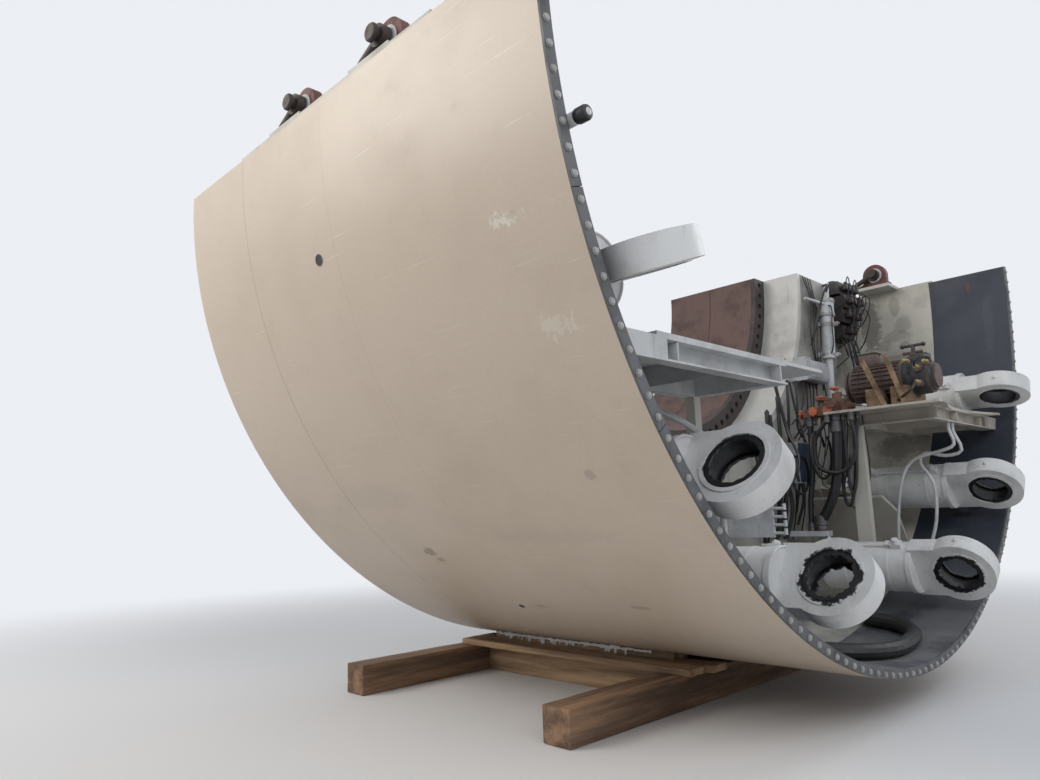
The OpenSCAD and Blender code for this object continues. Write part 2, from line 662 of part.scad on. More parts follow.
// Hydraulic jack clamped upright to the bulkhead
module upright_jack() color([0.78, 0.79, 0.8])
  translate([bulk_x + jack_off, jack_y, axis_h - jack_top]) rotate([jack_lean, 0, 0]) {
    translate([0, 0, -jack_neck]) cylinder(d = jack_d / 2, h = jack_neck);
    translate([0, 0, -jack_tube_top]) cylinder(d = jack_d + 2 * jack_head_up, h = jack_head_l);
    translate([0, 0, -jack_tube_top - jack_l]) {
      cylinder(d = jack_d, h = jack_l + 1);
      cylinder(d = jack_d + 2 * jack_collar_up, h = jack_collar_l);
      translate([0, 0, -jack_rod_l]) cylinder(d = jack_rod_d, h = jack_rod_l + 1);
    }
    translate([0, 0, -jack_pipe_drop]) rotate([jack_pipe_tilt, 0, 0]) cylinder(d = jack_pipe_d, h = jack_pipe_l);
    for (z = CLAMPS)
      translate([-jack_off, -clamp_w / 2, -z]) cube([jack_off, clamp_w, clamp_h]);
  }

// Junction box, its small neighbour and a tank box, on the bulkhead beside the hub ring
module service_boxes() color([0.66, 0.67, 0.68])
  for (b = BOXES) {
    r = hub_out + b[box_off];
    translate([bulk_x, r * sin(b[box_angle]) - b[box_size][1] / 2, axis_h - r * cos(b[box_angle]) - b[box_size][2] / 2]) cube(b[box_size]);
  }

// Valve blocks high on the bulkhead with a row of solenoids and pipe stubs
module valve_stack() color([0.17, 0.14, 0.14])
  translate([bulk_x, stack_y, axis_h]) {
    for (s = STACK) {
      translate([0, -s[stack_w] / 2, -s[stack_drop]]) cube([s[stack_deep], s[stack_w], s[stack_h] - block_gap]);
      translate([0, -s[stack_w] / 2 + joint_in, -s[stack_drop] - joint_h + 1]) cube([joint_deep, s[stack_w] - 2 * joint_in, joint_h]);
      for (y = STUBS) translate([s[stack_deep] - 1, y, -s[stack_drop] + s[stack_h] / 2]) rotate([0, 90, 0]) cylinder(d = stub_d, h = stub_l);
    }
    for (y = COILS) translate([coil_x, y, -coil_drop]) cylinder(d = coil_d, h = coil_l, center = true);
  }

// Comb bracket with four hooks, and the arm that takes the hoses' lower ends
module hose_rails() color([0.76, 0.78, 0.8]) {
  translate([bulk_x, comb_y, axis_h - comb_drop]) {
    cube(comb);
    for (i = [0 : 3]) translate([hook_x, comb[1] / 2, hook_pitch * (i + 0.5)]) {
      rotate([0, 90, 0]) cylinder(d = hook_d, h = hook_l);
      translate([hook_l - 5, 0, -hook_d / 2]) cylinder(d = hook_d + 4, h = 2 * hook_d);
    }
  }
  translate([bulk_x, deck_in + rail_in, axis_h - rail_drop - rail[2]]) cube(rail);
}

module black_hoses() color([0.06, 0.06, 0.07]) {
  for (h = HOSES) {
    p = h[hose_path];
    last = len(p) - 1;
    depths = [for (i = [0 : last]) i == 0 ? h[hose_ends][0] : i == last ? h[hose_ends][1] : hang(p[i][1])];
    hose([for (i = [0 : last]) [rear_x - p[i][0], h[hose_y], axis_h - depths[i]]], h[hose_d]);
  }
  r = skin_in - invert_hose_d / 2 - seat_gap;
  hose([for (p = INVERT) [rear_x - p[0], p[1], axis_h - sqrt(r * r - p[1] * p[1])]], invert_hose_d, side = [0, 0, 1], sides = 12);
}

// Light pipes from the platforms to the skin, and the grease pipe that ends at the rim
module white_pipes() color([0.78, 0.78, 0.76]) {
  intersection() {
    for (t = TUBES)
      hose([for (p = t[tube_path]) [rear_x - p[0], t[tube_y] + p[1], axis_h - flange_under - (t[tube_low] - flange_under) * p[2] / 100]],
        t[tube_d], side = [0, 1, 0.02]);
    bar_x(bulk_x, rear_x, skin_in);
  }
  at_angle(grease_angle, skin_in - grease_r - seat_gap) translate([tail_x, 0, 0]) {
    rotate([0, 90, 0]) cylinder(r = grease_r, h = tail_l + grease_out, $fn = 32);
    translate([tail_l + grease_out, 0, 0]) sphere(r = grease_r, $fn = 32);
  }
}

// Lug plate standing on the edge bar
module lug() {
  rotate([90, 0, 0]) difference() {
    union() {
      cylinder(r = lug_r, h = lug_t, center = true);
      translate([-lug_r, -lug_hole_h + pad_up, -lug_t / 2]) cube([2 * lug_r, lug_hole_h - pad_up, lug_t]);
      translate([-lug_r - 25, -lug_hole_h + pad_up, -lug_t / 2]) cube([2 * lug_r + 50, 40, lug_t]);
    }
    cylinder(d = shackle_pin_d + 2 * run_gap, h = 2 * lug_t, center = true);
  }
}

module lifting_lugs() color([0.35, 0.13, 0.1])
  for (l = LUGS) translate([rear_x - l[lug_back], l[lug_side] * lug_y, axis_h + lug_hole_h]) lug();

// Shackle lying forward from its pin: pin along Y, bow towards -X
module shackle(i) color([0.16, 0.15, 0.14])
  translate([rear_x - LUGS[i][lug_back], LUGS[i][lug_side] * lug_y, axis_h + lug_hole_h]) rotate([0, -shackle_droop, 0]) {
    rotate([90, 0, 0]) cylinder(d = shackle_pin_d, h = shackle_pin_l, center = true);
    for (side = [-1, 1]) {
      translate([0, side * shackle_half_w, 0]) rotate([90, 0, 0]) cylinder(r = shackle_eye_r, h = shackle_bar_d, center = true);
      translate([-shackle_leg, side * shackle_half_w, 0]) rotate([0, 90, 0]) cylinder(d = shackle_bar_d, h = shackle_leg - 20);
    }
    translate([-shackle_leg, 0, 0]) difference() {
      rotate_extrude() translate([shackle_half_w, 0]) circle(d = shackle_bar_d);
      translate([0, -200, -200]) cube([400, 400, 400]);
    }
  }

module cross_beams() color([0.45, 0.36, 0.26])
  for (x = [front_x, rear_x - rear_beam_back]) translate([x, -beam_l / 2, 0]) cube([beam_w, beam_l, beam_h]);

// Long timbers on each side: a square one on the floor, a board over the beams, a strip cut to the skin
module long_planks() color([0.5, 0.4, 0.28])
  for (side = [-1, 1]) {
    x0 = front_x + beam_w;
    x1 = rear_x - rear_beam_back;
    mirror([0, side < 0 ? 1 : 0, 0]) {
      translate([x0, plank_in, 0]) cube([x1 - x0, timber_w, beam_h]);
      difference() {
        union() {
          translate([front_x + 60, plank_in, beam_h]) cube([rear_x - board_back - front_x - 60, board_w, board_t]);
          translate([x0 + 60, plank_in, beam_h]) cube([rear_x - strip_back - x0 - 60, strip_w, 2 * board_t]);
        }
        bar_x(front_x - 1, rear_x, shield_r);
      }
    }
  }

main_skin();
tail_skin();
rim_strip();
front_ring();
edge_bars();
rear_bulkhead();
front_bulkhead();
radial_webs();
gusset_plates();
hub_ring();
flange_ring();
drive_housing();
clevis_brackets();
base_pins();
rod(0);  // rod_1
rod(1);  // rod_2
rod(2);  // rod_3
rod(3);  // rod_4
rod(4);  // rod_5
rod(5);  // rod_6
barrel(0);  // barrel_1
barrel(1);  // barrel_2
barrel(2);  // barrel_3
barrel(3);  // barrel_4
barrel(4);  // barrel_5
barrel(5);  // barrel_6
near_platform();
far_platform();
deck_posts();
pump_set();
deck_blocks();
valve_manifold();
upright_jack();
service_boxes();
valve_stack();
hose_rails();
black_hoses();
white_pipes();
lifting_lugs();
shackle(0);  // shackle_1
shackle(1);  // shackle_2
shackle(2);  // shackle_3
shackle(3);  // shackle_4
cross_beams();
long_planks();
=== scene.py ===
"""Dresses the lower half of a tunnel shield section: paint, bolts, welds, fittings, hoses and timbers."""
import math
import random

import bpy
from mathutils import Matrix, Vector


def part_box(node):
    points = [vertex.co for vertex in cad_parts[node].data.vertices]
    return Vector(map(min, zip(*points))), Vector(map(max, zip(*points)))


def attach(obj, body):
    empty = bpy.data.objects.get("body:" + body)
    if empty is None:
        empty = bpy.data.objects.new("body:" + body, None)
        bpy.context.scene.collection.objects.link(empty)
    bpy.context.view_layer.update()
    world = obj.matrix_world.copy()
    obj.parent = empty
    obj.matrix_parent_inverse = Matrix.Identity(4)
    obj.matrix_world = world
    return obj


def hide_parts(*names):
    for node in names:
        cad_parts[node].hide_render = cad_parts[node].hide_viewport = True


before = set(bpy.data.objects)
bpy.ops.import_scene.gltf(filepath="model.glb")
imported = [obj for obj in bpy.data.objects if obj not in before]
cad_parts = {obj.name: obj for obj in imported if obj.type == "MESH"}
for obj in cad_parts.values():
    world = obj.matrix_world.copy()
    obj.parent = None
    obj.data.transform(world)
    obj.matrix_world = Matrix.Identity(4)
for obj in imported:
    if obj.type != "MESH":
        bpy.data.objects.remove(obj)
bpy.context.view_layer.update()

bl_info = {
    "name": "Tunnel shield section",
    "version": (1, 0, 0),
    "blender": (4, 5, 0),
    "location": "View3D > Sidebar > Shield",
    "description": "Finishes and fittings of a tunnel shield section resting on timbers",
    "category": "Object",
}

# Sizes that the frame gives, in metres
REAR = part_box("rim_strip")[1].x
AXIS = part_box("rim_strip")[1].z
SHELL_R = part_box("rim_strip")[1].y
SKIN_IN = SHELL_R - 0.055
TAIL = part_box("tail_skin")[0].x
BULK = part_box("rear_bulkhead")[1].x
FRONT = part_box("front_ring")[0].x
HUB_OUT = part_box("hub_ring")[1].y
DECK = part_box("far_platform")[1].z
BEAM_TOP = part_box("cross_beams")[1].z

# Directions, and the frame of the whole section
TAILWARD = (1, 0, 0)
FRONTWARD = (-1, 0, 0)
NEARWARD = (0, -1, 0)
UP = (0, 0, 1)
DOWN = (0, 0, -1)
SECTION = Matrix.Identity(4)

# Angles under which faces are shaded as one, for CAD nodes and for pieces
SMOOTH_NODE = math.radians(32)
SMOOTH_PIECE = math.radians(38)

# Articulation cylinders: angle from the bottom towards the near side, turn about the own axis
CYLINDERS = [(66, 4.5), (44, -8), (22.9, 12), (-19.1, -14), (-42.7, -5), (-63.7, -6)]
CYLINDER_CIRCLE = SKIN_IN - 0.332
EYE = Vector((REAR - 0.028, 0, 0))
EYE_BORE_R = 0.145
EYE_HALF = 0.065
BARREL_R = 0.175
BARREL_FRONT = EYE.x - 0.9
BARREL_END = EYE.x - 0.27
GLAND_FRONT = BARREL_FRONT - 0.04
GLAND_BOLTS_R = 0.122
EYE_R = 0.222
# Torn seal in the eye: radius of its hole, and the radius inside which it is torn
LIP_R = 0.121
TORN_R = 0.133
# How far the seal in each eye is torn and how far grease has spread round it
EYE_TEAR = [0.004, 0.004, 0.013, 0.012, 0.005, 0.005]
GREASE_REACH = [0.004, 0.004, 0.022, 0.016, 0.005, 0.004]

# Lifting lugs: distance ahead of the rear rim, side
LUGS = [(1.95, -1), (1.12, -1), (1.95, 1), (1.12, 1)]
LUG_Y = SHELL_R - 0.15
LUG_UP = 0.165

# Clevises: inner and outer side and half height of a cheek, half sides of the base plate
CHEEK_SIDES = (0.067, 0.117)
CHEEK_HALF = 0.13
CLEVIS_BASE = (0.141, 0.15)

# Sawn side of a beam, thickness of a board, width and depth of the waves in a sawn face
BEAM_SIDE = 0.197
BOARD_THICK = 0.043
SAW_WAVE = 0.14
SAW_DEPTH = 0.006

# Rim bolts' circle below the skin's outside; gussets' angles from the bottom towards the near side
RIM_BOLT_IN = 0.023
GUSSETS = (-36, 34)
# Places along are counted from the rear rim, minus towards the front
# Ports in the skin: place along, degrees, diameter
PORTS = [(-1.731, 75.3, 0.064), (-1.731, -75.3, 0.064), (-1.771, 30.6, 0.04), (-1.771, -30.6, 0.04)]
# Platforms: node, side, finish, overhang of the deck plate, places of the further stiffeners
DECK_ROWS = [
    ("near_platform", -1, "deck_paint", 0.0, []),
    ("far_platform", 1, "deck_paint_far", 0.1, [0.73]),
]

# Circles of the motor's fins and of the pump's flange bolts
FINS_R = 0.156
PUMP_BOLTS_R = 0.148
# Motor's front end, the pump's face on it, the brass unions and the hoses from that face: diameter, points
MOTOR_AT = Vector((REAR - 0.83, 1.48, DECK + 0.25))
PUMP_FACE = MOTOR_AT + Vector((0.425, 0, 0))
BRASS_AT = [(0.12, -0.15, 0.06), (0.12, -0.15, -0.06), (0.04, -0.13, 0.12), (0.17, -0.1, 0.1)]
PUMP_HOSES = [
    (0.016, [(0.12, -0.24, 0.06), (0.15, -0.28, 0.1), (0.2, -0.22, 0.13), (0.2, -0.1, 0.1)]),
    (0.02, [(0.12, -0.24, -0.06), (0.1, -0.29, -0.12), (0.02, -0.27, -0.17), (-0.06, -0.2, -0.2)]),
]

# Valve manifold: its corner on the deck, side places of the bolted flanges, caps by diameter and place,
# knobs by place and direction
MANIFOLD_AT = Vector((REAR - 0.895, 0.97, DECK))
FLANGES_AT = (0.95, 1.18, 1.33)
CAPS = [(0.05, (0.05, 0.17, 0.14)), (0.05, (-0.06, 0.09, 0.04)), (0.04, (-0.15, 0.09, 0.03))]
KNOBS = [
    ((-0.225, 0.11, 0.014), FRONTWARD),
    ((-0.06, 0.09, 0.115), UP),
    ((0.055, 0.09, 0.175), UP),
    ((-0.1, 0.03, 0.02), NEARWARD),
    ((0.02, 0.02, 0.02), NEARWARD),
]

# Oil hoses of the jack, from its top: diameter, points
JACK_HOSES = [
    (0.014, [
        (0.04, -0.045, -0.2), (0.075, -0.07, -0.23), (0.07, -0.06, -0.4), (0.07, -0.06, -0.62),
        (0.045, -0.04, -0.67),
    ]),
    (0.02, [
        (0.02, -0.03, -0.05), (0.08, -0.12, -0.02), (0.07, -0.22, -0.16), (0.02, -0.25, -0.4),
        (-0.06, -0.22, -0.62),
    ]),
]
# Boxes on the bulkhead: name, side place, height over the axis, width, height, depth, finish
BOXES = [
    ("junction_box", 1.6, -0.969, 0.4, 0.18, 0.16, "box_grey"),
    ("tank_box", 1.1, -1.795, 0.25, 0.33, 0.21, "tank_blue"),
]
# Rows of coils on the valve stack: height over the axis, distance behind the bulkhead, places across
ALL_ACROSS = (-0.12, -0.04, 0.05, 0.13)
COIL_ROWS = [
    (-0.065, 0.15, ALL_ACROSS),
    (-0.205, 0.19, ALL_ACROSS),
    (-0.34, 0.16, ALL_ACROSS),
    (-0.485, 0.13, ALL_ACROSS[1:3]),
]

# Ends of the hanging hoses: place along, side place, height over the axis, diameter
UNDER_DECK = DECK - AXIS - 0.018
HOSE_TOPS = [
    (-1.05, 1.02, -1.4363, 0.044), (-0.84, 1.032, UNDER_DECK, 0.08),
    (-0.88, 0.962, UNDER_DECK, 0.036), (-0.69, 0.962, UNDER_DECK, 0.036),
    (-0.82, 1.098, UNDER_DECK, 0.028), (-0.73, 1.098, UNDER_DECK, 0.028),
    (-0.77, 1.01, UNDER_DECK, 0.028), (-0.66, 1.01, UNDER_DECK, 0.028),
]
HOSE_FEET = [(-1.11, 1.02, -2.3447, 0.044), (-1.035, 1.032, -2.3447, 0.08)]
# Hanging hoses: side place, place along, top and bottom over the axis, diameter
HANGING = [
    (0.62, -1.27, -1.5, -2.42, 0.03), (0.7, -1.22, -1.42, -2.36, 0.024), (0.76, -1.28, -1.38, -2.46, 0.036),
    (0.83, -1.2, -1.3, -2.3, 0.024), (0.9, -1.25, -1.25, -2.4, 0.03), (0.66, -1.3, -1.55, -2.5, 0.02),
    (0.97, -1.3, -1.1, -2.36, 0.028), (1.16, -1.28, -1.08, -2.3, 0.024), (1.24, -1.3, -1.08, -2.2, 0.02),
    (0.55, -1.3, -1.62, -2.3, 0.02), (1.32, -1.28, -1.07, -1.9, 0.018), (0.8, -1.3, -1.36, -2.2, 0.018),
]
# Coiled hoses: side place, place along, height over the axis, radius, points
COILS = [(1.0, -1.0, -1.75, 0.15, 14), (0.93, -1.16, -1.9, 0.12, 19)]

# Photograph's camera, backdrop, light of the sky, and the lamps: place, power, tint
CAMERA_AT = (3.234, -4.982, 1.190)
CAMERA_TURN = (99.285, 1.829, 45.898)
CAMERA_LENS = 26.48
BACKDROP = (0.84, 0.86, 0.9)
SKY_LIGHT = (0.42, 0.44, 0.48)
LAMPS = [
    ((-4.5, -8.5, 6.5), 430, (1.0, 0.95, 0.88)),
    ((7.5, -4.5, 7.0), 260, (0.93, 0.96, 1.0)),
    ((3.0, 7.5, 7.5), 230, (0.95, 0.97, 1.0)),
]


def at(x, y, z):
    """A point from its place along, its side place and its height over the axis."""
    return Vector((REAR + x, y, AXIS + z))


def round_shell(x, degrees, radius):
    """A point on a circle round the axis; degrees run from the bottom towards the near side."""
    turn = math.radians(degrees)
    return at(x, -radius * math.sin(turn), -radius * math.cos(turn))


def ring_frame(degrees, radius, turn=0.0):
    """The frame of a cylinder: Z towards the axis, Y round the shell."""
    return (
        Matrix.Translation((0, 0, AXIS))
        @ Matrix.Rotation(math.radians(-degrees), 4, "X")
        @ Matrix.Translation((0, 0, -radius))
        @ Matrix.Rotation(math.radians(-turn), 4, "X")
    )


# Modelling


def deselect():
    """Leaves edit mode and selects nothing."""
    if bpy.context.object and bpy.context.object.mode != "OBJECT":
        bpy.ops.object.mode_set(mode="OBJECT")
    bpy.ops.object.select_all(action="DESELECT")


def take(made):
    """Selects one object alone."""
    deselect()
    made.select_set(True)
    bpy.context.view_layer.objects.active = made
    return made


def fresh(operator, **values):
    """Adds one primitive and gives it back."""
    deselect()
    operator(**values)
    return bpy.context.object


def modify(made, kind, **values):
    """Adds a modifier and applies it."""
    take(made)
    modifier = made.modifiers.new(kind.title(), kind)
    for name, value in values.items():
        setattr(modifier, name, value)
    bpy.ops.object.modifier_apply(modifier=modifier.name)
    return made


def soften(made, edge):
    """Rounds the sharp edges."""
    limit = math.radians(40)
    return modify(made, "BEVEL", width=edge, segments=2, limit_method="ANGLE", angle_limit=limit)


def settle(made):
    """Puts the place, turn and scale into the mesh."""
    take(made)
    bpy.ops.object.transform_apply(location=True, rotation=True, scale=True)
    return made


def tidy_normals(made):
    """Merges doubles and turns the faces outwards."""
    take(made)
    bpy.ops.object.mode_set(mode="EDIT")
    bpy.ops.mesh.select_all(action="SELECT")
    bpy.ops.mesh.remove_doubles(threshold=0.00002)
    bpy.ops.mesh.normals_make_consistent(inside=False)
    bpy.ops.object.mode_set(mode="OBJECT")
    return made


def block(size, place=(0, 0, 0), turn=(0, 0, 0), edge=0.004):
    """A box with rounded edges; turn is in degrees."""
    lean = [math.radians(t) for t in turn]
    made = fresh(bpy.ops.mesh.primitive_cube_add, size=1, location=place, rotation=lean)
    made.scale = size
    take(made)
    bpy.ops.object.transform_apply(location=False, rotation=False, scale=True)
    return settle(soften(made, edge))


def bar(d, length, place=(0, 0, 0), toward=UP, edge=0.003, sides=24):
    """A round bar with rounded ends that starts at a place and runs toward a direction."""
    way = Vector(toward).normalized()
    made = fresh(
        bpy.ops.mesh.primitive_cylinder_add,
        radius=d / 2,
        depth=length,
        vertices=sides,
        location=Vector(place) + way * length / 2,
        rotation=way.to_track_quat("Z", "Y").to_euler(),
    )
    return settle(soften(made, edge))


def turned(profile, place=(0, 0, 0), toward=UP, sides=32, closed=True):
    """A lathe shape: the profile's pairs are radius and height."""
    curve = bpy.data.curves.new("profile", "CURVE")
    curve.dimensions = "3D"
    run = curve.splines.new("POLY")
    run.points.add(len(profile) - 1)
    for point, (radius, height) in zip(run.points, profile):
        point.co = (radius, 0, height, 1)
    run.use_cyclic_u = closed
    made = bpy.data.objects.new("turned", curve)
    bpy.context.scene.collection.objects.link(made)
    take(made)
    bpy.ops.object.convert(target="MESH")
    modify(bpy.context.object, "SCREW", steps=sides, render_steps=sides, use_merge_vertices=True)
    made = tidy_normals(bpy.context.object)
    made.rotation_euler = Vector(toward).normalized().to_track_quat("Z", "Y").to_euler()
    made.location = place
    return settle(made)


def ring(outer, inner, length, place=(0, 0, 0), toward=UP, edge=0.002, sides=40):
    """A flat ring with chamfered rims that starts at a place."""
    e = min(edge, (outer - inner) / 6, length / 3)
    profile = [
        (inner, e), (inner + e, 0), (outer - e, 0), (outer, e),
        (outer, length - e), (outer - e, length), (inner + e, length), (inner, length - e),
    ]
    return turned(profile, place, toward, sides)


def nut(across, length, place=(0, 0, 0), toward=UP):
    """A hexagon with a round flange under it."""
    way = Vector(toward).normalized()
    parts = [
        bar(across * 1.1547, length, place, way, across * 0.05, 6),
        bar(across * 1.35, length * 0.22, place, way, across * 0.03, 16),
    ]
    return join(parts)


def line(points, d, radii=None):
    """A round line through points, as a mesh with closed ends; with radii it doesn't curve."""
    curve = bpy.data.curves.new("line", "CURVE")
    curve.dimensions = "3D"
    curve.bevel_depth = d / 2
    curve.bevel_resolution = 1
    curve.resolution_u = 5
    curve.use_fill_caps = True
    run = curve.splines.new("POLY" if radii else "BEZIER")
    spots = run.points if radii else run.bezier_points
    spots.add(len(points) - 1)
    for number, (spot, point) in enumerate(zip(spots, points)):
        if radii:
            spot.co = (*point, 1)
        else:
            spot.co = point
            spot.handle_left_type = spot.handle_right_type = "AUTO"
        spot.radius = radii[number] if radii else 1.0
    made = bpy.data.objects.new("line", curve)
    bpy.context.scene.collection.objects.link(made)
    take(made)
    bpy.ops.object.convert(target="MESH")
    return tidy_normals(bpy.context.object)


def weld(points, d, rng):
    """A weld bead: a line whose thickness ripples."""
    radii = [0.8 + 0.4 * rng.random() if n % 2 else 1.15 for n in range(len(points))]
    return line(points, d, radii)


def path(start, end, gap):
    """Points at a steady gap from start to end."""
    start, end = Vector(start), Vector(end)
    count = max(1, round((end - start).length / gap))
    return [start.lerp(end, n / count) for n in range(count)] + [end]


def circle_x(x, radius, turn):
    """A point on a circle round the X axis."""
    return Vector((x, radius * math.cos(turn), radius * math.sin(turn)))


def circle_z(z, radius, turn):
    """A point on a circle round the Z axis."""
    return Vector((radius * math.cos(turn), radius * math.sin(turn), z))


def copies(made, places):
    """One copy of a shape, with a mesh of its own, for each matrix; the first shape goes."""
    new = []
    for matrix in places:
        other = made.copy()
        other.data = made.data.copy()
        other.data.transform(matrix)
        bpy.context.scene.collection.objects.link(other)
        new.append(other)
    bpy.data.objects.remove(made)
    return new


def join(parts):
    """Several shapes as one."""
    take(parts[0])
    for part in parts:
        part.select_set(True)
    if len(parts) > 1:
        bpy.ops.object.join()
    return bpy.context.object


def aim(place, toward, spin=0.0):
    """The matrix that stands a shape made along Z on a place."""
    turn = Vector(toward).normalized().to_track_quat("Z", "Y").to_matrix().to_4x4()
    return Matrix.Translation(place) @ turn @ Matrix.Rotation(spin, 4, "Z")


def steps_round(count, start=0.0):
    """Even turns round a circle, from a start in degrees."""
    return [math.radians(start + 360 / count * n) for n in range(count)]


def roughen(made, size, strength, seed):
    """Uneven faces, as sawn or torn stuff has."""
    texture = bpy.data.textures.new("unevenness", "CLOUDS")
    texture.noise_scale = size
    rng = random.Random(seed)
    shift = Vector([rng.random() * 9 for _ in range(3)])
    made.data.transform(Matrix.Translation(shift))
    modify(made, "DISPLACE", texture=texture, strength=strength, mid_level=0.5, texture_coords="LOCAL")
    made.data.transform(Matrix.Translation(-shift))
    return made


def piece(parts, name, finish_name, body="shield", matrix=None, replaces=()):
    """Joins the shapes into one named piece with a finish, riding on its body."""
    made = settle(join(parts))
    if matrix is not None:
        made.data.transform(matrix)
    made.name = made.data.name = name
    made.data.materials.clear()
    made.data.materials.append(finish(finish_name))
    for face in made.data.polygons:
        face.material_index = 0
    take(made)
    bpy.ops.object.shade_smooth_by_angle(angle=SMOOTH_PIECE)
    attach(made, body)
    if replaces:
        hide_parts(*replaces)
    return made


# Shader effects


def feed(tree, socket, value):
    """Gives a socket a value or another node's output."""
    if isinstance(value, bpy.types.NodeSocket):
        tree.links.new(value, socket)
    elif socket.type == "RGBA" and len(value) == 3:
        socket.default_value = (*value, 1)
    else:
        socket.default_value = value


def put(tree, kind, setup=None, **inputs):
    """Adds a shader node; an input is a value or another node's output."""
    made = tree.nodes.new("ShaderNode" + kind)
    for name, value in (setup or {}).items():
        setattr(made, name, value)
    for name, value in inputs.items():
        if name[0] == "i" and name[1:].isdigit():
            socket = made.inputs[int(name[1:])]
        else:
            socket = made.inputs[name.replace("_", " ")]
        feed(tree, socket, value)
    return made


def maths(tree, operation, a, b=0.0, clamp=False):
    """One sum, difference or the like."""
    return put(tree, "Math", {"operation": operation, "use_clamp": clamp}, i0=a, i1=b).outputs[0]


def times(tree, a, b):
    """The product of two values."""
    return maths(tree, "MULTIPLY", a, b)


def plus(tree, a, b, clamp=False):
    """The sum of two values."""
    return maths(tree, "ADD", a, b, clamp)


def less(tree, a, b):
    """The first value less the second."""
    return maths(tree, "SUBTRACT", a, b)


def rest(tree, value):
    """What is left of 1."""
    return less(tree, 1.0, value)


def distance(tree, a, b):
    """The length of a line from its two sides."""
    return maths(tree, "SQRT", plus(tree, times(tree, a, a), times(tree, b, b)))


def step(tree, value, low, high):
    """A smooth mask that goes from 0 to 1 between two values."""
    made = put(tree, "MapRange", {"interpolation_type": "SMOOTHSTEP"}, Value=value, i1=low, i2=high)
    return made.outputs[0]


def blend(tree, factor, a, b):
    """Goes from one colour to another."""
    return put(tree, "Mix", {"data_type": "RGBA"}, i0=factor, i6=a, i7=b).outputs[2]


def noise(tree, vector, scale, detail=5.0, rough=0.6):
    """A noise value."""
    return put(tree, "TexNoise", Vector=vector, Scale=scale, Detail=detail, Roughness=rough).outputs[0]


def stretched(tree, vector, scale):
    """A vector stretched along its axes."""
    return put(tree, "Mapping", Vector=vector, Scale=scale).outputs[0]


def effect(name, inputs, outputs, build):
    """A shader node group with named inputs and outputs, built once."""
    group = bpy.data.node_groups.get(name)
    if group is None:
        group = bpy.data.node_groups.new(name, "ShaderNodeTree")
        for label, kind, default in inputs:
            socket = group.interface.new_socket(label, in_out="INPUT", socket_type="NodeSocket" + kind)
            if default is not None:
                socket.default_value = default
        for label, kind in outputs:
            group.interface.new_socket(label, in_out="OUTPUT", socket_type="NodeSocket" + kind)
        entry = group.nodes.new("NodeGroupInput")
        leave = group.nodes.new("NodeGroupOutput")
        for label, value in build(group, entry.outputs).items():
            group.links.new(value, leave.inputs[label])
    return group


# What an effect of a whole surface gives
SURFACE = [("Color", "Color"), ("Roughness", "Float"), ("Height", "Float")]


def weathering():
    """Paint with worn chips, soft grime and dirt that has run down."""
    inputs = [
        ("Vector", "Vector", None),
        ("Paint", "Color", (0.7, 0.7, 0.7, 1)),
        ("Worn", "Color", (0.1, 0.06, 0.04, 1)),
        ("Grime", "Color", (0.1, 0.09, 0.08, 1)),
        ("Scale", "Float", 1.0),
        ("Wear", "Float", 0.3),
        ("Dirt", "Float", 0.4),
        ("Shine", "Float", 0.5),
    ]

    def build(tree, given):
        where, scale = given["Vector"], given["Scale"]
        chips = noise(tree, where, times(tree, scale, 9.0), 7.0, 0.62)
        edge = less(tree, 0.8, times(tree, given["Wear"], 0.25))
        chipped = step(tree, less(tree, chips, edge), 0.0, 0.02)
        cloud = noise(tree, where, times(tree, scale, 1.6), 5.0, 0.6)
        soft = times(tree, step(tree, cloud, 0.42, 0.74), given["Dirt"])
        run = noise(tree, stretched(tree, where, (1, 1, 0.09)), times(tree, scale, 11.0), 4.0)
        runs = times(tree, step(tree, run, 0.54, 0.78), given["Dirt"])
        dirty = plus(tree, soft, times(tree, runs, 0.6), True)
        fine = noise(tree, where, times(tree, scale, 70.0), 3.0)
        shade = plus(tree, 0.93, times(tree, fine, 0.14))
        tint = put(tree, "VectorMath", {"operation": "SCALE"}, i0=given["Paint"], Scale=shade).outputs[0]
        colour = blend(tree, dirty, tint, given["Grime"])
        colour = blend(tree, chipped, colour, given["Worn"])
        rough = plus(tree, given["Shine"], times(tree, dirty, 0.3), True)
        rough = plus(tree, rough, times(tree, less(tree, fine, 0.5), 0.2), True)
        high = less(tree, times(tree, fine, 0.25), chipped)
        return {"Color": colour, "Roughness": rough, "Height": high}

    return effect("Weathering", inputs, SURFACE, build)


def shell_place():
    """Place on the shell: place along, degrees from the bottom, radius."""

    def build(tree, given):
        spot = put(tree, "SeparateXYZ", Vector=given["Vector"]).outputs
        along = less(tree, spot[0], REAR)
        down = less(tree, AXIS, spot[2])
        side = times(tree, spot[1], -1.0)
        turn = times(tree, maths(tree, "ARCTAN2", side, down), 180 / math.pi)
        return {"Along": along, "Degrees": turn, "Radius": distance(tree, side, down)}

    outputs = [("Along", "Float"), ("Degrees", "Float"), ("Radius", "Float")]
    return effect("Shell place", [("Vector", "Vector", None)], outputs, build)


